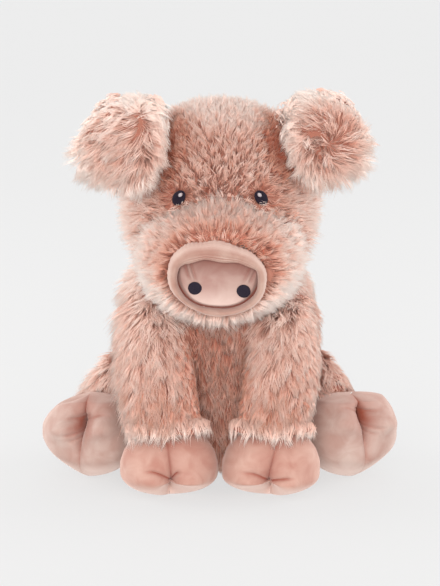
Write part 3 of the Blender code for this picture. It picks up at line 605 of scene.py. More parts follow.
@dataclass(frozen=True)
class Velour(Finish):
    """Short brushed velour: fine nap and soft mottling where it is stroked, painted shade in its creases and
    painted light on its pale edges.

    Attributes:
        deep: Colour of the darker mottling.
        pale: Colour of the paler mottling.
        painted_shading: Colour of the painted shade deep in creases.
        painted_highlight: Colour of the painted light on pale edges.
    """

    deep: str
    pale: str
    painted_shading: str
    painted_highlight: str = "#e2cdc4"

    def surface(self, tree: bpy.types.NodeTree) -> dict[str, object]:
        """The shader's inputs: the sockets that feed them, or plain values."""
        nap = self.noise(tree, 1500.0, 3.0, Roughness=0.7)
        stroke = self.noise(tree, 70.0, 4.0, Distortion=0.6)
        mottled = ((0.32, self.deep), (0.68, self.pale))
        colour = add_node(tree, "ShaderNodeValToRGB", {"Fac": stroke}, mottled).outputs["Color"]
        # The painted shading: painted shade in creases towards 1, painted light towards -1.
        depth = add_node(tree, "ShaderNodeAttribute", attribute_name="painted_shading").outputs["Fac"]
        for end, tint in ((1.0, self.painted_shading), (-1.0, self.painted_highlight)):
            colour = self.mixed(tree, depth, (0.0, end), (colour, linear(tint)))
        fine = add_node(tree, "ShaderNodeBump", {"Height": nap, "Strength": 0.35, "Distance": 0.0003})
        bumps = {"Height": stroke, "Normal": fine.outputs["Normal"], "Strength": 0.25}
        relief = {**bumps, "Distance": 0.0012}
        return {
            "Base Color": colour,
            "Normal": add_node(tree, "ShaderNodeBump", relief).outputs["Normal"],
            "Roughness": 0.85,
            "Specular IOR Level": 0.2,
            "Sheen Weight": 0.45,
            "Sheen Roughness": 0.5,
            "Sheen Tint": linear("#ffe6dc"),
        }


@dataclass(frozen=True)
class SatinStitch(Finish):
    """Satin stitch of rayon thread laid side by side, with a dull gloss in lines from its bumps and its
    painted highlights.

    V of the patch's map runs across the threads.

    Attributes:
        dark: Colour between the threads, a painted shade.
        light: Colour on top of them, a painted highlight.
    """

    dark: str
    light: str

    def surface(self, tree: bpy.types.NodeTree) -> dict[str, object]:
        """The shader's inputs: the sockets that feed them, or plain values."""
        place = add_node(tree, "ShaderNodeUVMap", uv_map="OFBake").outputs["UV"]
        waves = {"Vector": place, "Scale": 1.0, "Distortion": 0.4}
        threads = add_node(tree, "ShaderNodeTexWave", waves, bands_direction="Y").outputs["Fac"]
        # Painted shade between the threads and painted highlight on their tops.
        stops = ((0.0, self.dark), (1.0, self.light))
        height = {"Height": threads, "Strength": 0.6, "Distance": 0.0002}
        relief = add_node(tree, "ShaderNodeBump", height)
        return {
            "Base Color": add_node(tree, "ShaderNodeValToRGB", {"Fac": threads}, stops).outputs["Color"],
            "Normal": relief.outputs["Normal"],
            "Roughness": 0.55,
            "Specular IOR Level": 0.25,
        }


@dataclass(frozen=True)
class LooseFibre(Finish):
    """White hollow polyester fibre: matt, in soft lumps."""

    def surface(self, tree: bpy.types.NodeTree) -> dict[str, object]:
        """The shader's inputs: the sockets that feed them, or plain values."""
        lumps = {"Fac": self.noise(tree, 220.0, 6.0, Distortion=1.5)}
        tint = add_node(tree, "ShaderNodeValToRGB", lumps, ((0.35, "#dcdcd8"), (0.65, "#f6f6f4")))
        return {"Base Color": tint.outputs["Color"], "Roughness": 0.95}


@dataclass(frozen=True)
class LightTable(Finish):
    """The studio's floor: opal plastic, lit from below."""

    def surface(self, tree: bpy.types.NodeTree) -> dict[str, object]:
        """The shader's inputs: the sockets that feed them, or plain values."""
        return {
            "Base Color": linear("#5f5f5f"),
            "Roughness": 0.9,
            "Emission Color": linear("#ffffff"),
            "Emission Strength": TABLE_GLOW,
        }


def set_material(item: bpy.types.Object, surface: bpy.types.Material) -> None:
    """Gives an object one material."""
    item.data.materials.clear()
    item.data.materials.append(surface)


# Pile


@dataclass(frozen=True)
class PileStyle:
    """How the pile of one region grows.

    Attributes:
        length: Length of a strand, in metres.
        density: Strands for each square metre of cover.
        lean: Angle between a strand and the surface's outward direction.
        droop: How far a strand sags under its weight, as a share of its length.
        tuft: Distance between tufts, in metres.
        gather: Share by which the tips of a tuft draw together.
        stray: Random turn of the tufts about the outward direction.
        wave: Sideways bend of the strands, as a share of their length.
        ruffle: Random change of lean from tuft to tuft.
        bends: Places along a strand, as shares of its length, where it has a ring of points.
        thinned: Share of the strands left out at the pig's back, where the others are thicker.
        tone: Mean tone of the yarn, from 0 for deep to 1 for pale, and below 0 for painted shade.
    """

    length: float
    density: float
    lean: float
    droop: float = 0.15
    tuft: float = 0.0045
    gather: float = 0.7
    stray: float = 0.40
    wave: float = 0.08
    ruffle: float = 0.14
    bends: tuple[float, ...] = (0.0, 0.5)
    thinned: float = 0.45
    tone: float = 0.55


@dataclass(frozen=True)
class PileShape:
    """Local changes to a style, one value for each strand."""

    length: Points
    lean: Points
    tone: Points
    back: Points | float = 0.0
    painted_light: Points | float = 0.0

    @staticmethod
    def plain(count: int) -> "PileShape":
        """No change anywhere."""
        return PileShape(np.ones(count), np.zeros(count), np.zeros(count))


Comb = Callable[[Points, Points], Points]


@dataclass(frozen=True)
class Strands:
    """Finished strands, before they become a mesh.

    Attributes:
        paths: Points of each strand from root to tip, as strands, places and 3.
        places: The share of the length at each place.
        tones: Tone of each strand.
        rolls: Turn of each strand's section about itself.
        widths: Thickness of each strand, as a share of the yarn's.
        painted_light: How far each strand's root has its tip's colour, as a share: painted light on the
            crown, the muzzle's underside, the ears' edges and the hems.
    """

    paths: Points
    places: Points
    tones: Points
    rolls: Points
    widths: Points
    painted_light: Points

    def pieces(self) -> list["Strands"]:
        """The strands in shares that each stay within one mesh's triangles."""
        rings = len(self.places) - 1
        triangles = STRAND_CORNERS * (2 * rings - 1) + 1
        parts = math.ceil(len(self.tones) * triangles / PIECE_TRIANGLES)
        shares = np.array_split(np.arange(len(self.tones)), parts)
        return [
            Strands(self.paths[i], self.places, self.tones[i], self.rolls[i], self.widths[i], self.painted_light[i])
            for i in shares
        ]

    def mesh(self, name: str) -> bpy.types.Object:
        """The strands as closed, pointed prisms in one object."""
        count, places = self.paths.shape[:2]
        rings = places - 1
        tangents = unit(np.gradient(self.paths, axis=1))[:, :rings]
        helper = np.stack([np.cos(self.rolls), np.sin(self.rolls), np.full(count, 0.35)], axis=1)
        sides = unit(np.cross(tangents, helper[:, None]))
        ups = np.cross(tangents, sides)
        radii = STRAND_RADIUS * (1 - self.places[:rings] ** 2 * 0.75)
        turn = np.arange(STRAND_CORNERS) * 2 * math.pi / STRAND_CORNERS
        spokes = sides[:, :, None] * np.cos(turn)[:, None] + ups[:, :, None] * np.sin(turn)[:, None]
        radii = radii[None, :, None, None] * self.widths[:, None, None, None]
        corners = self.paths[:, :rings, None] + spokes * radii
        points = np.concatenate([corners.reshape(count, -1, 3), self.paths[:, -1:]], axis=1)
        template, uv = strand_template(rings, self.places)
        step = points.shape[1]
        faces = (template[None] + (np.arange(count) * step)[:, None, None]).reshape(-1, 3)
        loop_uv = np.tile(uv, (count, 1, 1))
        loop_uv[..., 0] += self.tones[:, None]
        # Painted light: the root takes on the tip's paler colour.
        loop_uv[..., 1] += (1 - loop_uv[..., 1]) * self.painted_light[:, None]
        return add_mesh(name, points.reshape(-1, 3), faces, loop_uv.reshape(-1, 2))


def strand_template(rings: int, places: Points) -> tuple[Points, Points]:
    """Triangles of one strand and the map place of each of their corners.

    Args:
        rings: How many rings of points the strand has before its tip.
        places: The share of the length at each ring and at the tip.

    Returns:
        The triangles, and one row of U shift and V for each of their corners.
    """
    faces, uv = [], []
    shift = TONE_HALF_SPREAD * (np.arange(STRAND_CORNERS + 1) / STRAND_CORNERS * 2 - 1)
    for ring in range(rings - 1):
        for corner in range(STRAND_CORNERS):
            after = (corner + 1) % STRAND_CORNERS
            here, there = STRAND_CORNERS * ring, STRAND_CORNERS * (ring + 1)
            faces.append((here + corner, here + after, there + after))
            faces.append((here + corner, there + after, there + corner))
            low, high = places[ring], places[ring + 1]
            left, right = shift[corner], shift[corner + 1]
            uv += [(left, low), (right, low), (right, high), (left, low), (right, high), (left, high)]
    last = STRAND_CORNERS * (rings - 1)
    for corner in range(STRAND_CORNERS):
        faces.append((last + corner, last + (corner + 1) % STRAND_CORNERS, STRAND_CORNERS * rings))
        middle = (shift[corner] + shift[corner + 1]) / 2
        uv += [(shift[corner], places[rings - 1]), (shift[corner + 1], places[rings - 1]), (middle, 1.0)]
    faces.append((2, 1, 0))
    uv += [(0.0, 0.0), (TONE_HALF_SPREAD, 0.0), (0.0, TONE_HALF_SPREAD)]
    return np.array(faces), np.array(uv)


def gather_tufts(paths: Points, style: PileStyle, places: Points, owner: Points) -> Points:
    """The paths with the strands of each tuft drawn together towards their tips."""
    pull = style.gather * np.asarray(places) ** 1.3
    return paths + pull[None, :, None] * (paths[owner] - paths) * 0.92


def nearest_of(points: Points, heads: int) -> Points:
    """For each point, the index of the nearest among the first few of them."""
    tree = KDTree(heads)
    for index, point in enumerate(points[:heads].tolist()):
        tree.insert(point, index)
    tree.balance()
    return np.array([tree.find(point)[1] for point in points.tolist()])


def relaxed(points: Points, faces: Points) -> Points:
    """The points with those that stand out from all their neighbours drawn back to them."""
    ends = np.vstack([faces[:, [0, 1]], faces[:, [1, 2]], faces[:, [2, 0]]])
    count = np.maximum(np.bincount(ends.ravel(), minlength=len(points)), 1)[:, None]
    for _ in range(RELAXING_ROUNDS):
        total = np.zeros_like(points)
        np.add.at(total, ends[:, 0], points[ends[:, 1]])
        np.add.at(total, ends[:, 1], points[ends[:, 0]])
        offset = total / count - points
        reach = np.maximum(np.linalg.norm(offset, axis=1), 1e-9)[:, None]
        points = points + offset * np.clip(1 - CLOTH_SPIKE / reach, 0, 1)
    return points


def facing_back(normals: Points) -> Points:
    """1 where the surface faces the pig's back, 0 where it faces its front."""
    return smoothstep(0.0, 0.6, normals[:, 1])


def pressed_on_floor(paths: Points, rng: np.random.Generator) -> Points:
    """The paths with what would sink into the floor laid in a thin layer on it."""
    layer = FLOOR_CLEARANCE + FLOOR_LAYER * rng.random(len(paths))
    raised = paths.copy()
    raised[..., 2] = np.maximum(raised[..., 2], layer[:, None])
    return raised


def grow(
    skin: Skin,
    around: Neighbours,
    beside: Neighbours,
    style: PileStyle,
    comb: Comb,
    shape: Callable[[Points, Points], PileShape],
    rng: np.random.Generator,
) -> Strands:
    """Grows the pile of one cover.

    Each strand starts below the cover's surface, leaves it at the style's lean along the comb
    direction, sags under its own weight and gathers with the others of its tuft.

    Args:
        skin: Outer surface of the cover.
        around: The solids round it, which leave no pile where they touch it.
        beside: Those of them that it isn't sewn to, which lift the pile's roots at the seams.
        style: How this region's pile grows.
        comb: Gives the direction in which the pile lies, from places and outward directions.
        shape: Gives the local changes to the style at places.
        rng: Source of the random numbers.

    Returns:
        The strands.
    """
    places, normals = skin.sample(style.density, rng)
    keep = rng.random(len(places)) > style.thinned * facing_back(normals)
    places, normals = places[keep], normals[keep]
    keep = around.distances(places) > SEAM_CLEARANCE
    places, normals = places[keep], normals[keep]
    room = beside.distances(places)
    count = len(places)
    heads = max(int(count / (style.density * style.tuft**2)), 1)
    owner = nearest_of(places, heads)
    change = shape(places, normals)
    depth = np.clip(room - SEAM_CLEARANCE, 0, PILE_DEPTH)[:, None]
    roots = places - normals * depth
    lying = along_surface(comb(places, normals), normals)
    turn = rng.normal(0, style.stray, heads)[owner] + rng.normal(0, style.stray / 3, count)
    across = np.cross(normals, lying)
    lying = lying * np.cos(turn)[:, None] + across * np.sin(turn)[:, None]
    roots = roots - lying * np.broadcast_to(change.back, count)[:, None]
    lean = style.lean + change.lean + rng.normal(0, style.ruffle, heads)[owner] + rng.normal(0, 0.08, count)
    lean = np.clip(lean, 0.05, 1.5)[:, None]
    aim = normals * np.cos(lean) + lying * np.sin(lean)
    length = style.length * change.length * (1 + rng.normal(0, 0.12, heads)[owner])
    length = (length * (1 + rng.normal(0, 0.08, count)))[:, None, None]
    share = np.array([*style.bends, 1.0])
    sag = style.droop * share**2
    wave = rng.normal(0, style.wave, (heads, 2))[owner] + rng.normal(0, style.wave / 3, (count, 2))
    sway = np.sin(share * math.pi)[None, :, None] * (
        across[:, None] * wave[:, None, :1] + lying[:, None] * wave[:, None, 1:]
    )
    paths = roots[:, None] + length * (aim[:, None] * share[:, None] - WORLD_UP * sag[:, None] + sway)
    paths = pressed_on_floor(gather_tufts(paths, style, share, owner), rng)
    tones = style.tone + change.tone + rng.normal(0, 0.12, heads)[owner] + rng.normal(0, 0.06, count)
    tones = np.clip(SHADE_SHARE + (1 - SHADE_SHARE) * tones, 0.02, 0.98)
    widths = 1 + 0.3 * style.thinned * facing_back(normals)
    painted_light = np.broadcast_to(change.painted_light, count)
    return Strands(paths, share, tones, rng.random(count) * 2 * math.pi, widths, painted_light)


@dataclass
class FurredPart:
    """One pile-covered part: its ground cloth and its strands, riding on one body.

    Attributes:
        node: The CAD cover that it stands for.
        body: The CAD body that it rides on.
        style: How its pile grows.
        seed: Seed of its random numbers.
    """

    node: str
    body: str
    style: PileStyle
    seed: int

    def sewn_to(self) -> list[str]:
        """Nodes that this one is sewn to along an edge, so that their pile runs together."""
        return []

    def comb(self, points: Points, normals: Points) -> Points:
        """Direction in which the pile lies at places on the cover."""
        return np.broadcast_to(-WORLD_UP, points.shape)

    def shape(self, points: Points, normals: Points) -> PileShape:
        """Local changes to the style at places on the cover."""
        return PileShape.plain(len(points))

    def build(self, ground: bpy.types.Material, yarn: bpy.types.Material) -> int:
        """Makes both pieces.

        Args:
            ground: Material of the backing cloth.
            yarn: Material of the strands.

        Returns:
            How many strands the part has.
        """
        rng = np.random.default_rng(self.seed)
        skin = Skin.of_node(self.node)
        for _ in range(REFINEMENTS):
            skin = skin.refined()
        around = Neighbours.around(self.node)
        depths = Neighbours.around(self.node, *self.sewn_to())
        outer = skin.kept(around.clear_of(skin))
        self.add_cloth(skin, outer, depths, ground)
        strands = grow(outer, around, depths, self.style, self.comb, self.shape, rng)
        for index, share in enumerate(strands.pieces()):
            pile = share.mesh(f"{self.node}_pile_{index + 1}")
            set_material(pile, yarn)
            self.declare(pile)
        return len(strands.tones)

    def drawn_in(self, skin: Skin, outer: Skin, around: Neighbours) -> Points:
        """The cover's points with its outer face drawn in to where the pile is rooted.

        Args:
            skin: The whole cover.
            outer: Its outer face.
            around: The solids round it, which the cloth stays clear of.

        Returns:
            One row for each of the cover's points.
        """
        used = np.unique(outer.faces)
        room = around.distances(skin.points[used])
        depth = np.clip(room - SEAM_CLEARANCE - CLOTH_THICKNESS, 0, PILE_DEPTH)
        moves = outer.point_normals()[used] * depth[:, None]
        tree = KDTree(len(used))
        for index, point in enumerate(skin.points[used].tolist()):
            tree.insert(point, index)
        tree.balance()
        found = [tree.find(point) for point in skin.points.tolist()]
        nearest = np.array([row[1] for row in found])
        follow = 1 - smoothstep(0, FOLLOWING_REACH, np.array([row[2] for row in found]))
        return relaxed(skin.points - moves[nearest] * follow[:, None], skin.faces)

    def add_cloth(self, skin: Skin, outer: Skin, around: Neighbours, ground: bpy.types.Material) -> None:
        """The backing cloth under the pile."""
        cloth = add_mesh(f"{self.node}_cloth", self.drawn_in(skin, outer, around), skin.faces)
        set_material(cloth, ground)
        self.declare(cloth)

    def declare(self, piece: bpy.types.Object) -> None:
        """Puts a piece on its body and in the cover's place."""
        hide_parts(self.node)
        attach(piece, self.body)


def node_middle(name: str) -> Points:
    """Middle of a CAD node's box."""
    low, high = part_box(name)
    return (np.array(low) + np.array(high)) / 2


def joint_place(name: str) -> Points:
    """Where the CAD puts a joint."""
    joints = frame["record"]["behaviour"]["joints"]
    return np.array(next(joint["pos_m"] for joint in joints if joint["name"] == name), float)


def eye_middles() -> Points:
    """Middles of the two eyes."""
    return np.array([node_middle("eye_left"), node_middle("eye_right")])


def near_eyes(points: Points, reach: float = EYE_SWIRL_REACH) -> Points:
    """1 beside an eye, 0 beyond the reach of the parting round it."""
    gap = np.min([np.linalg.norm(points - eye, axis=1) for eye in eye_middles()], axis=0)
    return 1 - smoothstep(EYE_CLEARING, reach, gap)


def parted_round_eyes(flow: Points, points: Points) -> Points:
    """The flow, turned to point away from an eye beside it."""
    for eye in eye_middles():
        gap = np.linalg.norm(points - eye, axis=1)
        near = 1 - smoothstep(EYE_CLEARING, EYE_SWIRL_REACH, gap)[:, None]
        flow = flow * (1 - near) + unit(points - eye) * near
    return flow


def painted_rim_light(normals: Points) -> Points:
    """How much paler the pile is painted where the form turns away to its sides and its top: painted rim
    light.
    """
    return 0.36 * smoothstep(0.45, 0.95, np.hypot(normals[:, 0], np.clip(normals[:, 2], 0, 1)))


@dataclass
class HeadPile(FurredPart):
    """The head: pile brushed away from the face, parted round the eyes, down at the back.

    Attributes:
        ears: The ear panels, beside which the pile is painted in their shade.
    """

    ears: "Neighbours | None" = None

    def comb(self, points: Points, normals: Points) -> Points:
        """Direction in which the pile lies at places on the cover."""
        low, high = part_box(self.node)
        face = node_middle("snout_rim") * (1, 0, 1) + np.array([0.0, low[1], 0.0])
        away = unit(points - face)
        back = smoothstep(0.0, high[1], points[:, 1])[:, None]
        flow = away * (1 - back) - WORLD_UP * back
        return parted_round_eyes(flow, points)

    def shape(self, points: Points, normals: Points) -> PileShape:
        """Local changes to the style at places on the cover."""
        low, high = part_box(self.node)
        near = near_eyes(points)
        height = smoothstep(low[2], high[2], points[:, 2])
        side = smoothstep(0.5, 1.0, np.abs(points[:, 0]) / high[0])
        front = 1 - smoothstep(low[1], 0.3 * high[1], points[:, 1])
        length = 1 - 0.20 * near + 0.45 * side * (1 - height) - 0.10 * front * height
        lean = 0.1 * near - 0.15 * height * (1 - near) - 0.25 * side * (1 - height)
        ears = 1 - smoothstep(0.002, EAR_CREASE_REACH, self.ears.distances(points))
        ears = ears * smoothstep(0.1, -0.3, normals[:, 1])
        length = length * (1 - 0.35 * ears)
        # Painted shade beside the eyes, towards the muzzle and beside the ears; painted light where the form
        # turns away and on the crown.
        tone = painted_rim_light(normals) - 0.22 * near - 0.10 * front - 0.9 * ears
        crown = smoothstep(0.5, 0.95, normals[:, 2])
        return PileShape(length, lean, tone, 0.0, 0.3 * crown)


@dataclass
class MuzzlePile(FurredPart):
    """The muzzle: pile that radiates from the snout, with a pale ragged edge."""

    def comb(self, points: Points, normals: Points) -> Points:
        """Direction in which the pile lies at places on the cover."""
        spokes = (points - node_middle("snout_rim")) * (1, 0, 1)
        backward = 0.8 - 0.6 * smoothstep(0.1, 0.8, -normals[:, 2])
        return parted_round_eyes(unit(spokes) + backward[:, None] * np.array([0.0, 1.0, 0.0]), points)

    def shape(self, points: Points, normals: Points) -> PileShape:
        """Local changes to the style at places on the cover."""
        low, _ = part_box(self.node)
        near = near_eyes(points, MUZZLE_EYE_REACH)
        back = smoothstep(low[1], 0.4 * low[1], points[:, 1])
        spokes = (points - node_middle("snout_rim")) * (1, 0, 1)
        rim = 1 - smoothstep(0.027, 0.036, np.linalg.norm(spokes, axis=1))
        length = (0.78 + 0.30 * back) * (1 - 0.60 * near)
        lean = 0.05 - 0.35 * back + 0.45 * near
        below = smoothstep(-0.006, 0.018, -spokes[:, 2])
        away = unit(spokes) @ np.array([0.6, 0.0, 0.8])
        setback = RIM_GAP * rim * smoothstep(-0.2, 0.5, away)
        right = smoothstep(0.0, 0.045, points[:, 0])
        # Painted shade next to the snout's rim; painted light on the underside and where the form turns
        # away.
        tone = -0.25 + 0.70 * back + 0.5 * painted_rim_light(normals) - 0.06 * rim
        tone = tone + 0.58 * below + 0.06 * right
        return PileShape(length, lean, tone, setback, 0.30 * below)


@dataclass
class EarPile(FurredPart):
    """An ear panel: long pile that fans or parts from a point of the panel, and stops at its edge.

    Attributes:
        side: Which ear.
        fan: Where the pile fans from, as an offset from the ear's root.
        swirl: Sideways turn of the fan.
        parted: Share by which it parts to both sides of a line down from that point instead.
        flare: How much of the pile's length stands out past the panel's outer side.
    """

    side: Side = Side.LEFT
    fan: tuple[float, float, float] = (0.0, 0.0, 0.0)
    swirl: float = 0.0
    parted: float = 0.0
    flare: float = 0.0

    def sewn_to(self) -> list[str]:
        """Nodes that this one is sewn to along an edge, so that their pile runs together."""
        return [f"ear_{face}_{self.side.value}" for face in ("front", "back")]

    def offset(self, points: Points) -> Points:
        """Where points lie in the panel's box, from -1 to 1 along each axis."""
        low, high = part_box(self.node)
        return (points - node_middle(self.node)) / ((np.array(high) - np.array(low)) / 2)

    def corner(self, points: Points) -> Points:
        """How near points are to the ear's rounded upper outer corner, from 0 to 1."""
        offset = self.offset(points)
        return smoothstep(0.15, 0.85, (self.side.sign * offset[:, 0] + offset[:, 2]) / 2)

    def drawn_in(self, skin: Skin, outer: Skin, around: Neighbours) -> Points:
        """The cover's points with its outer face drawn in to where the pile is rooted."""
        middle = np.mean([node_middle(name) for name in self.sewn_to()], axis=0)
        return middle + (skin.points - middle) * EAR_CLOTH_SHARE

    def start(self) -> Points:
        """Where the pile fans from."""
        return joint_place(f"ear_{self.side.value}_flop") + np.array(self.fan)

    def comb(self, points: Points, normals: Points) -> Points:
        """Direction in which the pile lies at places on the cover."""
        away = points - self.start()
        out = unit(away)
        fan = out + self.swirl * np.cross(normals, out) - WORLD_UP * 0.15
        sides = np.tanh(away[:, 0] / PARTING_WIDTH) * 0.8
        rise = -0.6 + 1.4 * smoothstep(-0.004, 0.010, away[:, 2])
        parting = np.stack([sides, np.zeros(len(points)), rise], axis=1)
        return fan * (1 - self.parted) + parting * self.parted

    def shape(self, points: Points, normals: Points) -> PileShape:
        """Local changes to the style at places on the cover."""
        offset = self.offset(points)
        edge = smoothstep(0.45, 1.05, np.linalg.norm(offset * (1, 0, 1), axis=1))
        inner = smoothstep(0.35, 1.0, -self.side.sign * offset[:, 0])
        from_root = np.linalg.norm((points - self.start()) * (1, 0, 1), axis=1)
        centre = 1 - smoothstep(0.0, EAR_CROWN_REACH, from_root)
        centre = centre * (1 - self.parted)
        # Painted light at the panel's edge and where it turns away to its sides and top.
        tone = 0.08 + 0.75 * painted_rim_light(normals) - 0.10 * centre + 0.16 * edge
        upper = self.corner(points)
        lower = smoothstep(0.2, 0.9, -offset[:, 2])
        outer = smoothstep(0.5, 1.0, self.side.sign * offset[:, 0])
        outer = outer * (1 - smoothstep(0.0, 0.5, offset[:, 2])) * (1 - 0.7 * lower) * self.flare
        back = EAR_EDGE_SETBACK * edge * (1 + 2 * inner + upper) * (1 - 0.7 * lower) * (1 - outer)
        length = 1 - 0.25 * edge - 0.15 * inner - 0.56 * upper + 0.25 * lower + 0.35 * outer
        return PileShape(length, -0.45 * centre, tone, back, 0.6 * edge)


@dataclass
class TorsoPile(FurredPart):
    """The torso: pile that lies downwards, shorter on the chest, where its deeper tone is painted shade."""

    def shape(self, points: Points, normals: Points) -> PileShape:
        """Local changes to the style at places on the cover."""
        low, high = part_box(self.node)
        chest = 1 - smoothstep(0.75 * low[1], 0.0, points[:, 1])
        middle = 1 - smoothstep(0.3 * high[0], 0.7 * high[0], np.abs(points[:, 0]))
        hidden = chest * middle
        shoulder = SHOULDER_FLUFF * smoothstep(0.7, 0.9, points[:, 2] / high[2]) * (1 - hidden)
        # Painted shade on the chest between the legs; painted light where the form turns away.
        tone = painted_rim_light(normals) * (1 - hidden) - 0.26 * hidden
        pressed = PRESSED_SIDE * smoothstep(0.4 * high[0], 0.9 * high[0], points[:, 0])
        return PileShape(1 - 0.35 * hidden + shoulder - pressed, 0.12 * hidden - 0.3 * shoulder, tone)


@dataclass
class LimbPile(FurredPart):
    """A limb's sleeve: long pile that lies towards its foot, shorter on the side to the belly.

    Attributes:
        foot: The trotter that the pile lies towards.
        side: Which side of the pig the limb is on.
    """

    foot: str = ""
    side: Side = Side.LEFT

    def comb(self, points: Points, normals: Points) -> Points:
        """Direction in which the pile lies at places on the cover."""
        reach = unit(node_middle(self.foot) - node_middle(self.node))
        return reach * 0.7 - WORLD_UP * 0.45

    def shape(self, points: Points, normals: Points) -> PileShape:
        """Local changes to the style at places on the cover."""
        along = points @ unit(node_middle(self.foot) - node_middle(self.node))
        hem = smoothstep(along.max() - HEM_REACH, along.max(), along)
        inner = smoothstep(0.2, 0.9, -self.side.sign * normals[:, 0])
        pressed = PRESSED_SIDE * smoothstep(0.0, 0.6, normals[:, 0])
        inner = inner * (1 - hem)
        top = smoothstep(0.1, 0.7, normals[:, 2])
        length = (1 - 0.22 * hem) * (1 - 0.50 * inner) * (1 - pressed * (1 - hem)) * (1 + 0.2 * top)
        # Painted shade on the side towards the belly; painted light at the hem, on top and where the form
        # turns away.
        tone = -0.29 + 0.68 * hem + 1.0 * painted_rim_light(normals) * (1 - inner) - 0.12 * inner + 0.10 * top
        return PileShape(length, 0.25 * inner - 0.05 * hem + 0.25 * top, tone, HEM_SETBACK * hem, 0.30 * hem)


@dataclass
class HaunchPile(LimbPile):
    """A hind leg's sleeve, whose pieces are left in the cover's place on no body."""

    def declare(self, piece: bpy.types.Object) -> None:
        """Hides the cover and bakes the piece in the cover's place, on no body."""
        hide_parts(self.node)
        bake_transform(piece)


@dataclass
class TailPile(FurredPart):
    """The tail: short pile that stands off the curl."""

    def comb(self, points: Points, normals: Points) -> Points:
        """Direction in which the pile lies at places on the cover."""
        return np.broadcast_to(np.array([0.3, 1.0, -0.4]), points.shape)


# Velour feet


@dataclass(frozen=True)
class FootFrame:
    """Directions of one foot: from its top to its sole, across it, and towards its cleft."""

    axis: Points
    across: Points
    front: Points

    @staticmethod
    def facing(azimuth: float) -> "FootFrame":
        """A foot that stands upright and whose cleft faces this far round from the pig's front."""
        front = np.array([math.sin(azimuth), -math.cos(azimuth), 0.0])
        return FootFrame(-WORLD_UP, np.cross(front, -WORLD_UP), front)


@dataclass(frozen=True)
class Toes:
    """How one foot is stitched into toes; offsets in metres, positive to its right.

    Attributes:
        bulb: Rows of place along the foot and size there, as shares.
        cleft: Sideways offset of the cleft at the foot's top, at the pucker and at the sole.
        tucks: For the left and the right tuck, its length and how far it rises.
        lifts: How far the left and the right toe's sole is curled up.
        shoulders: How far the foot's top drops to its left and to its right.
        flanks: How far its underside rises to its left and to its right.
        depth: Depth of the cleft.
        hollow: Depth of the hollow round the pucker.
        fold_shade: How dark the painted shade in the tucks is.
        pucker: Place of the pucker along the foot, as a share.
        spread: How far the deep part of the cleft reaches from the pucker, as a share.
        bulge: How far each toe's pad swells beside the pucker.
        fullness: Share of the CAD foot's breadth that it fills.
    """

    bulb: tuple[tuple[float, float], ...]
    cleft: tuple[float, float, float]
    tucks: tuple[tuple[int, float, float, float], ...]
    lifts: tuple[float, float]
    shoulders: tuple[float, float] = (0.0, 0.0)
    flanks: tuple[float, float] = (0.0, 0.0)
    depth: float = 0.0088
    hollow: float = 0.0
    fold_shade: float = 0.75
    pucker: float = 0.72
    spread: float = 0.50
    bulge: float = 0.0042
    fullness: float = 1.0


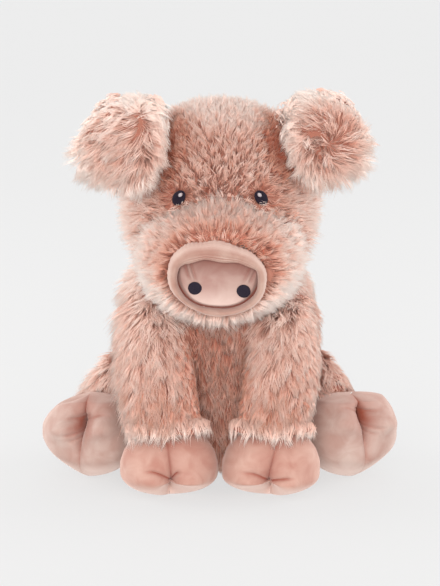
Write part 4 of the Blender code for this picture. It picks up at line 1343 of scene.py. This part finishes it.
@dataclass
class Trotter:
    """A stuffed cloven foot: bulb shape, cleft seam, pucker with two tucks, and toes.

    Attributes:
        node: The CAD trotter that it stands for.
        body: The CAD body that it rides on.
        directions: How the foot lies.
        toes: How it is stitched.
        rings: Rings of points from hem to sole.
        columns: Points on each ring.
    """

    node: str
    body: str
    directions: FootFrame
    toes: Toes
    rings: int = 96
    columns: int = 160

    def build(self, surface: bpy.types.Material, fibre: bpy.types.Material) -> None:
        """Makes the foot's skin and the stuffing inside it.

        Args:
            surface: Material of the skin.
            fibre: Material of the stuffing.
        """
        rings, shade = self.rings_of_points(self.creases)
        points, faces = closed_surface(np.concatenate([rings, shade[..., None]], axis=-1))
        points, shade = points[:, :3], points[:, 3]
        piece = add_mesh(f"{self.node}_velour", points, faces)
        mark_painted_shading(piece, shade)
        set_material(piece, surface)
        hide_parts(self.node)
        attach(piece, self.body)
        fill = add_mesh(f"{self.node}_fill", *closed_surface(self.rings_of_points(self.dimple)[0][:, ::4]))
        set_material(fill, fibre)
        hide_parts(self.node.replace("trotter", "trotter_stuffing"))
        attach(fill, self.body)

    def rings_of_points(self, relief: Callable[[Points, Points, float], tuple]) -> tuple[Points, Points]:
        """The foot's points, in rings from its top to its sole.

        Args:
            relief: Gives how far the surface is drawn in and its painted shading, at places on the foot.

        Returns:
            The rings, and the painted shading at each of their points.
        """
        skin = Skin.of_node(self.node)
        start, end = skin.extent(self.directions.axis)
        spans = [skin.extent(d) for d in (self.directions.across, self.directions.front)]
        half = [(high - low) / 2 * self.toes.fullness for low, high in spans]
        middle = [(high + low) / 2 for low, high in spans]
        along, size = self.profile()
        share = np.arange(self.columns) / self.columns * 2 - 1
        away = np.sign(share) * np.abs(share) ** FRONT_CROWDING * math.pi
        angle = away + math.pi / 2
        radius = float(np.mean(half))
        inward, shade = relief(along[:, None], -away[None, :] * radius, end - start)
        reach = size[:, None] * (1 - inward / radius + self.lumps(along[:, None], angle[None, :]))
        across = reach * np.cos(angle) * half[0] + middle[0]
        front = reach * np.sin(angle) * half[1] + middle[1]
        rise = self.sole(along[:, None], -away[None, :])
        depth = start + along[:, None] * (end - start) - rise
        rings = (
            across[..., None] * self.directions.across
            + front[..., None] * self.directions.front
            + depth[..., None] * self.directions.axis
        )
        return rings, np.broadcast_to(shade, rings.shape[:2])

    def profile(self) -> tuple[Points, Points]:
        """Place along the foot and size there, as shares, from the hem's pole to the sole's."""
        turn = np.linspace(0, math.pi, self.rings)
        rise = (1 - np.cos(turn)) / 2
        table = np.array(self.toes.bulb)
        smooth = np.interp(np.linspace(0, 1, 201), table[:, 0], table[:, 1])
        window = np.hanning(31)
        smooth = np.convolve(np.pad(smooth, 15, mode="edge"), window / window.sum(), mode="valid")
        bulb = np.interp(rise, np.linspace(0, 1, 201), smooth)
        closing = (1 - np.clip((rise - 0.62) / 0.38, 0, 1) ** 2.8) ** 0.5
        opening = np.clip(rise / 0.05, 0, 1) ** 0.5
        return rise, bulb * closing * opening

    def creases(self, along: Points, sideways: Points, length: float) -> tuple[Points, Points]:
        """How far the skin is drawn in at the seams and puckers, and the painted shading there.

        Args:
            along: Place along the foot, as a share.
            sideways: Distance round the foot from its front line, positive to the right.
            length: The foot's length.

        Returns:
            Metres inwards, less where the toe pads bulge, and the painted shading: painted shade in the
            creases and below the hem, painted light above the sole.
        """
        top, low, end = self.toes.cleft
        pucker = self.toes.pucker
        rise = (along - pucker) / np.where(along < pucker, pucker, 1 - pucker)
        line = low + (top - low) * np.clip(-rise, 0, 1) ** 1.3 + (end - low) * np.clip(rise, 0, 1)
        offset = sideways - line
        drop = (along - self.toes.pucker) * length
        fade = 0.30 + 0.70 * np.exp(-(((along - self.toes.pucker) / self.toes.spread) ** 2))
        pinch = np.exp(-np.abs(offset) / CLEFT_PINCH)
        swell = np.exp(-((offset / CLEFT_SWELL) ** 2))
        inward = self.toes.depth * (0.5 * pinch + 0.5 * swell) * fade
        centre = np.exp(-np.hypot(offset, drop) / PUCKER_RADIUS)
        inward = inward + PUCKER_DEPTH * centre
        # Painted shade: a dark line in the cleft, a dark core at the pucker, the hollow, a broad shadow
        # along the cleft and darker cloth below the hem.
        shade = 0.55 * np.exp(-np.abs(offset) / CLEFT_LINE) * fade
        shade = shade + 0.8 * np.exp(-np.hypot(offset, drop) / PUCKER_CORE)
        hollow = self.toes.hollow * np.exp(-(np.hypot(offset, drop) / HOLLOW_RADIUS) ** 2)
        inward = inward + hollow
        shade = shade + hollow * HOLLOW_SHADE
        shade = shade + 0.22 * np.exp(-((offset / CLEFT_SHADOW) ** 2))
        shade = shade + 0.25 * (1 - smoothstep(0.0, 0.35, along))
        # Painted light: the band above the sole is painted paler.
        shade = shade - PAINTED_SOLE_LIGHT * smoothstep(0.74, 0.90, along)
        for sign, reach, rise, start in self.toes.tucks:
            out = np.clip(offset * sign, 0, None)
            share = np.clip(out / reach, 0, 1)
            bow = rise * np.sin(share * math.pi * 0.6)
            ending = (offset * sign > 0) * (1 - smoothstep(0.6, 1.05, out / reach))
            gap = drop + bow - start
            inward = inward + TUCK_DEPTH * ending * np.exp(-np.abs(gap) / TUCK_WIDTH)
            # Painted shade in each tuck.
            shade = shade + self.toes.fold_shade * ending * np.exp(-((gap / TUCK_LINE) ** 2))
            pad = np.exp(-(((gap - PAD_HEIGHT) / PAD_HEIGHT) ** 2))
            pad = pad * np.exp(-((out - PAD_MIDDLE) / PAD_WIDTH) ** 2)
            padded = (offset * sign > 0) * smoothstep(0, PAD_EDGE, out) * (start == 0)
            inward = inward - self.toes.bulge * pad * padded
        return inward, shade

    def dimple(self, along: Points, sideways: Points, length: float) -> tuple[Points, Points]:
        """The stuffing's surface: the skin's, without its creases and wholly inside it."""
        drop = (along - self.toes.pucker) * length
        cleft = self.toes.depth * np.exp(-((sideways / (2 * CLEFT_SWELL)) ** 2))
        bowl = np.exp(-((sideways / FILL_DIMPLE_WIDTH) ** 2 + (drop / FILL_DIMPLE_HEIGHT) ** 2))
        pucker = (PUCKER_DEPTH + 2 * TUCK_DEPTH) * bowl
        closing = smoothstep(0.75, 1.0, along) + smoothstep(0.15, 0.0, along)
        inward = VELOUR_THICKNESS * (2 + closing) + cleft + pucker
        return inward, np.zeros_like(inward)

    def lumps(self, along: Points, angle: Points) -> Points:
        """Soft unevenness of the stuffing, as a share of the size."""
        phase = sum(ord(letter) for letter in self.node)
        broad = 0.012 * np.sin(3 * angle + 7 * along + phase)
        return broad + 0.010 * np.sin(5 * angle - 9 * along + 2 * phase)

    def sole(self, along: Points, sideways: Points) -> Points:
        """How far the underside rises between and under the toes, less how far the top drops."""
        toward = np.clip(np.cos(sideways), 0, 1)
        left, right = self.toes.lifts
        turn = smoothstep(-0.35, 0.35, sideways)
        lift = (left * (1 - turn) + right * turn) * toward**2
        sides = np.clip([-np.sin(sideways), np.sin(sideways)], 0, 1) ** 2
        drop = self.toes.shoulders[0] * sides[0] + self.toes.shoulders[1] * sides[1]
        flank = self.toes.flanks[0] * sides[0] + self.toes.flanks[1] * sides[1]
        notch = SOLE_NOTCH * toward**40 * smoothstep(0.5, 0.7, self.toes.pucker)
        rise = (notch + lift) * smoothstep(0.70, 0.95, along) + flank * smoothstep(0.45, 0.95, along)
        return rise - drop * smoothstep(0.45, 0.0, along)


# Snout


@dataclass
class Snout:
    """The padded rim and the disc that is drawn in behind it.

    Attributes:
        body: The CAD body that it rides on.
        columns: Points round the rim.
        turns: Points round the rim's section.
    """

    body: str
    columns: int = 220
    turns: int = 104

    def outline(self, angle: Points) -> Points:
        """Outer contour of the rim, boxier above than below, as offsets from the middle."""
        angle = angle + CORNER_LIFT * np.cos(angle) + RIM_TURN
        cosine, sine = np.cos(angle), np.sin(angle)
        power = np.where(sine > 0, 0.82, 1.12)
        height = np.where(sine > 0, RIM_UPPER_HEIGHT, RIM_LOWER_HEIGHT)
        across = RIM_HALF_WIDTH * np.sign(cosine) * np.abs(cosine) ** power
        up = height * np.sign(sine) * np.abs(sine) ** power
        flat = np.stack([across, np.zeros(len(angle)), up], axis=-1)
        return tilted(flat, RIM_TURN)[:, [0, 2]] + RIM_SHIFT

    def opening(self, angle: Points, inset: Points | float = 0.0) -> Points:
        """Edge of the rim's opening: a boxy bowl under a flat arch, as offsets from the middle."""
        sine, cosine = np.sin(angle), np.cos(angle)
        down = np.mod(-angle, 2 * math.pi)
        bowl = OPENING_CORNER - down * (1 + 2 * OPENING_CORNER / math.pi)
        turn = np.where(sine > 0, OPENING_CORNER, bowl)
        across = (OPENING_HALF_WIDTH - inset) * np.sign(np.cos(turn)) * np.abs(np.cos(turn)) ** 0.86
        up = (OPENING_DEPTH - inset) * np.sign(np.sin(turn)) * np.abs(np.sin(turn)) ** 0.86
        arch = (OPENING_ARCH - inset) * np.clip(sine, 0, 1) ** 1.4
        flat = np.stack([np.where(sine > 0, across * cosine, across), up + arch], axis=-1)
        return flat + OPENING_SHIFT

    def build(self, surface: bpy.types.Material, recess: bpy.types.Material) -> None:
        """Makes the rim and the disc."""
        self.build_rim(surface)
        self.build_disc(recess)

    def build_rim(self, surface: bpy.types.Material) -> None:
        """A stuffed roll whose cloth is stretched in fine wrinkles along its top."""
        low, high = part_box("snout_rim")
        angle = np.arange(self.columns) * 2 * math.pi / self.columns
        half = (np.array(high) - np.array(low)) / 2
        middle = (np.array(high) + np.array(low)) / 2
        outer = self.outline(angle)
        inner = self.opening(angle)
        turn = np.arange(self.turns) * 2 * math.pi / self.turns
        core = (outer + inner) / 2
        spoke = (outer - inner) / 2
        flat = np.sign(np.cos(turn)) * np.abs(np.cos(turn)) ** 0.8
        deep = np.sign(np.sin(turn)) * np.abs(np.sin(turn)) ** 0.8
        wrinkle, shade = self.wrinkles(angle[:, None], turn[None, :])
        scale = 1 + wrinkle / half[1]
        rings = np.zeros((self.columns, self.turns, 3))
        rings[..., 0] = core[:, None, 0] + spoke[:, None, 0] * flat * scale
        rings[..., 1] = half[1] * deep * scale
        rings[..., 2] = core[:, None, 1] + spoke[:, None, 1] * flat * scale
        rings = tilted(rings)
        quads = grid_faces(self.columns, self.turns)
        count = self.columns * self.turns
        index = np.arange(count).reshape(self.columns, self.turns)
        last, first = index[-1], index[0]
        closing = np.stack([last, np.roll(last, -1), np.roll(first, -1), first], axis=-1)
        faces = np.vstack([quads, closing])
        points = rings.reshape(-1, 3) + middle
        faces = facing_outwards(points, faces)
        piece = add_mesh("snout_rim_velour", points, faces)
        mark_painted_shading(piece, shade.ravel())
        self.declare(piece, surface, "snout_rim")

    def wrinkles(self, angle: Points, turn: Points) -> tuple[Points, Points]:
        """Height of the stretch wrinkles and lumps of the roll, and its painted shading."""
        top = np.clip(np.sin(angle), 0, 1) ** 1.5
        facing = np.clip(-np.sin(turn), 0, 1)
        inner = smoothstep(0.0, -0.8, np.cos(turn))
        wave = np.sin(22 * turn + 0.9 * np.sin(2 * angle) + 0.5 * np.sin(7 * angle))
        fine = wave * top * facing * (0.3 + inner) * WRINKLE_HEIGHT
        radial = np.sin(46 * angle + 2 * np.sin(3 * angle)) * np.clip(np.cos(turn), 0, 1)
        radial = radial * WRINKLE_HEIGHT * 0.6
        lumps = (np.sin(5 * angle + 0.7) + np.sin(8 * angle + 2.1)) * WRINKLE_HEIGHT
        # Painted shade in the wrinkles' valleys and on the roll's inner side; painted light on their crests
        # and on its outer front.
        shade = 0.70 * top * facing * inner * np.clip(-wave, -0.4, 1)
        shade = shade + 0.45 * smoothstep(-0.70, -1.0, np.cos(turn))
        shade = shade - 0.35 * facing * smoothstep(0.0, 0.7, np.cos(turn))
        return fine + radial + lumps, shade

    def build_disc(self, surface: bpy.types.Material) -> None:
        """A soft disc, drawn in under the rim's top and pulled into folds beside the nostrils, with painted
        shade and light.
        """
        low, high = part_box("snout_rim")
        disc_low, disc_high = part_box("snout_disc")
        middle = (np.array(high) + np.array(low)) / 2
        angle = np.arange(self.columns) * 2 * math.pi / self.columns
        lower = smoothstep(0.1, -0.7, np.sin(angle))
        edge = self.opening(angle, DISC_GAP * lower - DISC_OVERLAP * (1 - lower))
        share = np.concatenate([np.linspace(0, 1, DISC_RINGS + 1), np.ones(FLANGE_RINGS + 1)])
        centre = self.opening(np.array([math.pi / 2, 1.5 * math.pi])).mean(axis=0)
        flat = centre + (edge - centre) * np.clip(share, 0, 1)[:, None, None]
        front = disc_low[1]
        rise = (flat[..., 1] - centre[1]) / (edge[:, 1].max() - centre[1])
        slope = 0.10 + 0.45 * rise + 0.45 * smoothstep(0.2, 1.0, rise)
        back = front + DISC_TOP_RECESS * slope + DISC_CROWN * share[:, None] ** 2
        fold = self.folds(flat[..., 0], flat[..., 1] - centre[1])
        back += FOLD_DEPTH * fold
        back += DISC_EDGE_ROUNDING * smoothstep(0.84, 1.0, share)[:, None] ** 2
        # Painted shade under the rim's top, in the folds and at the edge; painted light on the disc's
        # bottom.
        under = smoothstep(0.15, 1.0, rise) ** 1.5
        painted_highlight = smoothstep(0.1, -0.8, rise) * smoothstep(0.97, 0.90, share)[:, None]
        shade = 0.28 * fold + 0.60 * under + 0.8 * smoothstep(0.93, 1.0, share)[:, None] - 0.50 * painted_highlight
        step = np.clip((np.arange(len(share)) - DISC_RINGS) / FLANGE_RINGS, 0, 1)[:, None]
        flange = self.opening(angle, -DISC_OVERLAP)
        flat = flat + (flange - edge) * np.clip(step * FLANGE_RINGS, 0, 1)[..., None]
        back = back + np.clip(step * FLANGE_RINGS, 0, 1) * FLANGE_STEP
        back = back * (1 - step) + disc_high[1] * step
        rings = np.zeros((len(share), self.columns, 3))
        rings[..., 0] = flat[..., 0]
        rings[..., 2] = flat[..., 1]
        rings = tilted(rings) + middle * (1, 0, 1)
        rings[..., 1] = back
        cap = rings[-1:].mean(axis=1, keepdims=True).repeat(self.columns, axis=1)
        values = np.concatenate([shade, shade[-1:]])[..., None]
        points, faces = closed_surface(np.concatenate([np.concatenate([rings, cap]), values], axis=-1))
        piece = add_mesh("snout_disc_velour", points[:, :3], faces)
        mark_painted_shading(piece, points[:, 3])
        self.declare(piece, surface, "snout_disc")

    def folds(self, across: Points, up: Points) -> Points:
        """How deep, from 0 to 1, the cloth is pulled into the folds that run down to the nostrils."""
        depth = np.zeros_like(across)
        for sign in (-1, 1):
            for offset, height in DISC_FOLDS:
                line = across * sign - FOLD_PLACE - offset - 0.40 * (up - FOLD_BEND)
                near = np.exp(-((line / FOLD_WIDTH) ** 2))
                reach = smoothstep(*FOLD_FOOT, up) * (1 - smoothstep(*FOLD_HEAD, up))
                depth += near * reach * height * (0.8 - 0.2 * sign)
        return depth

    def declare(self, piece: bpy.types.Object, surface: bpy.types.Material, node: str) -> None:
        """Puts a piece on the head in its node's place."""
        set_material(piece, surface)
        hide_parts(node)
        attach(piece, self.body)


def tilted(offsets: Points, tilt: float = SNOUT_TILT) -> Points:
    """Offsets from the snout's middle, turned sideways so that the viewer's right sinks."""
    cosine, sine = math.cos(tilt), math.sin(tilt)
    across, deep, up = offsets[..., 0], offsets[..., 1], offsets[..., 2]
    return np.stack([across * cosine + up * sine, deep, up * cosine - across * sine], axis=-1)


def facing_outwards(points: Points, quads: Points) -> Points:
    """The quads, turned round when they enclose a negative volume."""
    corners = points[quads]
    volume = np.einsum("ij,ij->", corners[:, 0], np.cross(corners[:, 1], corners[:, 2]))
    volume += np.einsum("ij,ij->", corners[:, 0], np.cross(corners[:, 2], corners[:, 3]))
    return quads if volume > 0 else quads[:, ::-1]


# Stitched patches


@dataclass
class StitchedPatch:
    """A satin-stitched oval: a low dome of threads laid side by side.

    Attributes:
        node: The CAD patch that it stands for.
        slot: The record's material slot; not used.
        half_length: Half of the oval's long axis, in metres.
        half_width: Half of its short axis, in metres.
        tilt: Turn of the long axis from level, rising outwards.
        dome: Height of the middle above the edge.
        shift: How far it lies up its long axis from the CAD patch's middle, in metres.
    """

    node: str
    slot: str
    half_length: float
    half_width: float
    tilt: float
    dome: float = STITCH_DOME
    shift: float = 0.0

    def middle(self) -> Points:
        """Middle of the patch: the eyes a little closer, the nostrils turned with the snout."""
        place = node_middle(self.node)
        if self.node.startswith("nostril"):
            snout = node_middle("snout_rim")
            return snout + tilted(place - snout) - WORLD_UP * NOSTRIL_DROP
        return place - np.array([math.copysign(EYE_INSET, place[0]), 0.0, 0.0])

    def build(self, surface: bpy.types.Material, normal: Points, sink: float) -> None:
        """Makes the patch.

        Args:
            surface: Its thread.
            normal: Outward direction of the cloth that it is stitched to.
            sink: How far its edge lies below the CAD patch's middle.
        """
        normal = unit(normal)
        level = along_surface(np.array([1.0, 0.0, 0.0]), normal)
        rise = np.cross(level, normal)
        rise = rise if rise[2] > 0 else -rise
        along = level * math.cos(self.tilt) + rise * math.sin(self.tilt)
        cross = np.cross(normal, along)
        angle = np.arange(PATCH_CORNERS) * 2 * math.pi / PATCH_CORNERS
        share = np.concatenate([np.linspace(0, 1, PATCH_RINGS), [1.0]])
        height = self.dome * np.sqrt(np.clip(1 - share**2, 0, 1))
        turns = share[:, None] * np.sin(angle) * self.half_width / THREAD_WIDTH
        thread = THREAD_RELIEF * np.abs(np.sin(turns * math.pi))
        height = height[:, None] + thread * (share < 1)[:, None]
        height[-1] = -2 * self.dome - sink
        oval = share[:, None, None] * (
            along * (self.half_length * np.cos(angle))[:, None]
            + cross * (self.half_width * np.sin(angle))[:, None]
        )
        upward = along if along[2] > 0 else -along
        rings = self.middle() + upward * self.shift + oval + normal * (height - sink)[..., None]
        cap = rings[-1:].mean(axis=1, keepdims=True).repeat(len(angle), axis=1)
        points, faces = closed_surface(np.concatenate([rings, cap]))
        loop_uv = self.thread_map(points, faces, along, cross)
        piece = add_mesh(f"{self.node}_stitch", points, faces, loop_uv)
        set_material(piece, surface)
        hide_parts(self.node)
        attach(piece, "head")

    def thread_map(self, points: Points, faces: Points, along: Points, cross: Points) -> Points:
        """Map of the patch in thread widths, so that one thread is one turn of the wave."""
        local = points - self.middle()
        wave_turns = 2 * math.pi / 20
        flat = np.stack([local @ along, local @ cross], axis=-1) / THREAD_WIDTH * wave_turns
        return flat[faces.ravel()]


# Stage


def add_camera() -> None:
    """A long lens in front of the pig, a little above it."""
    data = bpy.data.cameras.new("camera")
    data.sensor_fit = "HORIZONTAL"
    data.sensor_width = SENSOR_WIDTH * 1000
    data.lens = data.sensor_width * CAMERA_DISTANCE / VIEW_WIDTH
    item = bpy.data.objects.new("camera", data)
    bpy.context.collection.objects.link(item)
    target = Vector((0.0, 0.0, VIEW_CENTRE_HEIGHT))
    back = Vector((0.0, -math.cos(CAMERA_ELEVATION), math.sin(CAMERA_ELEVATION)))
    item.location = target + back * CAMERA_DISTANCE
    item.rotation_euler = (-back).to_track_quat("-Z", "Y").to_euler()
    bpy.context.scene.camera = item


def add_softbox(name: str, place: tuple[float, float, float], power: float, colour: str) -> None:
    """A square area light that faces the pig."""
    data = bpy.data.lights.new(name, "AREA")
    data.size = SOFTBOX_SIZE
    data.energy = power
    data.color = linear(colour)[:3]
    item = bpy.data.objects.new(name, data)
    bpy.context.collection.objects.link(item)
    item.location = place
    aim = Vector((0.0, 0.0, VIEW_CENTRE_HEIGHT)) - item.location
    item.rotation_euler = aim.to_track_quat("-Z", "Y").to_euler()


def add_stage() -> None:
    """A light table as the floor, an even bright surround and a soft light in front."""
    bpy.ops.mesh.primitive_plane_add(size=FLOOR_SIZE)
    floor = bpy.context.object
    floor.name = "floor"
    set_material(floor, LightTable("studio_floor").material())
    world = bpy.data.worlds.new("studio")
    world.use_nodes = True
    surround = {"Color": linear("#f1f1f1"), "Strength": SURROUND_LIGHT}
    feed(world.node_tree, world.node_tree.nodes["Background"], surround)
    bpy.context.scene.world = world
    bpy.context.scene.view_settings.view_transform = "Standard"
    add_softbox("front", FRONT_LIGHT_PLACE, FRONT_LIGHT, "#fffaf6")
    for side in Side:
        place = (side.sign * RIM_LIGHT_OUT, RIM_LIGHT_BACK, RIM_LIGHT_HEIGHT)
        add_softbox(f"{side.value}_rim", place, RIM_LIGHT, "#fffdfb")


# The pig


def furred_parts() -> list[FurredPart]:
    """Every pile-covered part with its style."""
    head = PileStyle(length=0.0120, density=8.6e5, lean=0.98, tuft=0.0028, gather=0.22, ruffle=0.08)
    muzzle = PileStyle(
        length=0.0145, density=8.8e5, lean=1.02, droop=0.05, tuft=0.0034, gather=0.4, stray=0.2
    )
    ear = PileStyle(
        length=0.0165, density=8.2e5, lean=1.05, droop=0.12, tuft=0.0036, gather=0.42, stray=0.32, wave=0.12
    )
    torso = PileStyle(
        length=0.0145, density=6.2e5, lean=1.05, tuft=0.0034, gather=0.28, stray=0.28, ruffle=0.06
    )
    sleeve = PileStyle(
        length=0.0165,
        density=8.2e5,
        lean=1.15,
        droop=0.10,
        tuft=0.0036,
        gather=0.25,
        stray=0.24,
        wave=0.1,
        ruffle=0.05,
    )
    tail = PileStyle(length=0.0070, density=9.0e5, lean=0.85, tuft=0.003, thinned=0.0)
    fans = {
        Side.LEFT: ((-0.0045, -0.045, 0.008), 0.0, 0.85),
        Side.RIGHT: ((0.025, -0.045, -0.015), 0.8, 0.0),
    }
    flares = {Side.LEFT: 1.0, Side.RIGHT: 0.25}
    ears = Neighbours.of_nodes(*(f"ear_{face}_{side.value}" for face in ("front", "back") for side in Side))
    parts: list[FurredPart] = [
        HeadPile("head_cover", "head", head, 11, ears),
        MuzzlePile("muzzle_cover", "head", muzzle, 12),
        TorsoPile("torso_cover", "torso", torso, 13),
        TailPile("tail", "tail", tail, 14),
    ]
    for seed, side in enumerate(Side):
        name = side.value
        parts += [
            EarPile(f"ear_front_{name}", f"ear_{name}", ear, 20 + seed, side, *fans[side], flares[side]),
            EarPile(f"ear_back_{name}", f"ear_{name}", ear, 25 + seed, side, flare=flares[side]),
        ]
        for kind, leg, foot, start in (
            (LimbPile, "foreleg", "fore_trotter", 30),
            (HaunchPile, "hind_leg", "hind_trotter", 40),
        ):
            cover, body = f"{leg}_cover_{name}", f"{leg}_{name}"
            parts.append(kind(cover, body, sleeve, start + seed, f"{foot}_{name}", side))
    return parts


def trotters() -> list[Trotter]:
    """The four feet."""
    standing = ((0.0, 0.56), (0.12, 0.74), (0.30, 0.91), (0.50, 1.0), (0.75, 1.0), (1.0, 0.92))
    lying = ((0.0, 0.60), (0.06, 0.74), (0.18, 0.90), (0.35, 1.0), (0.55, 1.0), (0.75, 0.93), (1.0, 0.74))
    hind = {
        "depth": 0.0120,
        "hollow": 0.0068,
        "fold_shade": 0.22,
        "spread": 0.34,
        "bulge": 0.0080,
        "fullness": 1.06,
    }
    folds = (
        (0.013, -0.001, -0.0045),
        (0.016, 0.004, 0.0),
        (0.012, -0.003, 0.0045),
        (0.009, -0.003, 0.0085),
    )
    across = ((0.020, 0.007, 0.0), (0.008, 0.002, -0.004))
    left_tucks = ((-1, 0.018, 0.008, 0.0), (1, 0.007, 0.007, 0.0))
    right_tucks = ((-1, 0.018, 0.0065, 0.0), (1, 0.018, 0.003, 0.0))
    toes = {
        ("fore", Side.LEFT): Toes(standing, (-0.002, 0.0025, 0.0015), left_tucks, (0.0, 0.007)),
        ("fore", Side.RIGHT): Toes(standing, (0.007, -0.003, -0.002), right_tucks, (0.007, 0.0)),
    }
    for side in Side:
        sign = side.sign
        tucks = tuple((sign, *fold) for fold in folds) + tuple((-sign, *fold) for fold in across)
        if side is Side.LEFT:
            shoulders, flanks, cleft, pucker = (0.006, 0.0), (0.010, 0.0), (0.004, 0.001, -0.004), 0.30
        else:
            shoulders, flanks, cleft, pucker = (0.0, -0.001), (0.0, 0.008), (0.003, 0.0042, 0.0065), 0.22
        toes["hind", side] = Toes(lying, cleft, tucks, (0.0, 0.0), shoulders, flanks, pucker=pucker, **hind)
    feet = []
    for (place, side), stitching in toes.items():
        azimuth = side.sign * HIND_FACING if place == "hind" else 0.0
        body = f"hind_leg_{side.value}" if place == "hind" else f"foreleg_{side.value}"
        feet.append(Trotter(f"{place}_trotter_{side.value}", body, FootFrame.facing(azimuth), stitching))
    return feet


def build_face(surface: bpy.types.Material, light: bpy.types.Material) -> None:
    """The stitched eyes with their glints, and the nostrils."""
    centre = node_middle("head_cover")
    for side in Side:
        name, tilt = side.value, -side.sign * EYE_TILT
        eye = StitchedPatch(f"eye_{name}", "dark_thread", EYE_HALF_LENGTH, EYE_HALF_WIDTH, tilt)
        out = (node_middle(eye.node) - centre) * (1, 1, 0)
        eye.build(surface, out, -EYE_LIFT)
        glint = StitchedPatch(
            f"eye_glint_{name}",
            "white_thread",
            GLINT_HALF_LENGTH,
            GLINT_HALF_WIDTH,
            tilt,
            GLINT_DOME,
            GLINT_SHIFT,
        )
        glint.build(light, out, -EYE_LIFT - STITCH_DOME / 2)
        nostril = StitchedPatch(
            f"nostril_{name}",
            "dark_thread",
            NOSTRIL_HALF_WIDTH,
            NOSTRIL_HALF_HEIGHT,
            NOSTRIL_TILT,
            NOSTRIL_DOME,
        )
        nostril.build(surface, np.array([0.0, -1.0, 0.0]), 0.0)


def dress_hidden_parts(fibre: bpy.types.Material) -> None:
    """Gives the stuffing and the pellet bag their material."""
    for name, node in frame["nodes"].items():
        if name.endswith("pellet_bag") or "stuffing" in name:
            set_material(node, fibre)


def main() -> None:
    """Builds the dressed pig and its stage."""
    logging.basicConfig(level=logging.INFO, format="%(message)s")
    add_camera()
    add_stage()
    ground = KnittedGround("knitted_backing_cloth").material()
    # The shade row is painted shade; the deep roots are partly painted shade.
    yarn = PileYarn(
        "brushed_polyester_pile",
        shade=("#6e2614", "#8f3d27", "#a95a42"),
        deep=("#b95a3e", "#ca846c", "#dba891"),
        pale=("#e2b9a9", "#f2ccbd", "#fff8f2"),
    ).material()
    for part in furred_parts():
        log.info("%s: %d strands", part.node, part.build(ground, yarn))
    # One velour in two copies: the hind feet's greyer, paler copy is painted light for how light falls on
    # them. The last colour of each is its painted shade in creases.
    fore_skin = Velour("short_velour_fore", "#a6786b", "#b99588", "#8a4030").material()
    hind_skin_painted_pale = Velour("short_velour_hind_painted_pale", "#a5857b", "#b8a299", "#8e4531").material()
    fibre = LooseFibre("polyester_fibre_fill").material()
    for foot in trotters():
        foot.build(hind_skin_painted_pale if foot.node.startswith("hind") else fore_skin, fibre)
        log.info("%s: velour and stuffing", foot.node)
    # The last colour of each is its painted shade in creases; their pale edges are painted light.
    rim_skin = Velour("snout_rim_velour", "#9a7468", "#ac9185", "#8c4434").material()
    disc_skin = Velour("snout_disc_velour", "#957068", "#a78b82", "#8a3f2f").material()
    Snout("head").build(rim_skin, disc_skin)
    log.info("snout: rim and disc")
    dark = SatinStitch("plum_rayon_thread", "#120a17", "#21172a").material()
    light = SatinStitch("white_thread", "#b3a9ad", "#cbc3c7").material()
    build_face(dark, light)
    log.info("face: two eyes with glints, two nostrils")
    dress_hidden_parts(fibre)


if __name__ == "__main__":
    main()
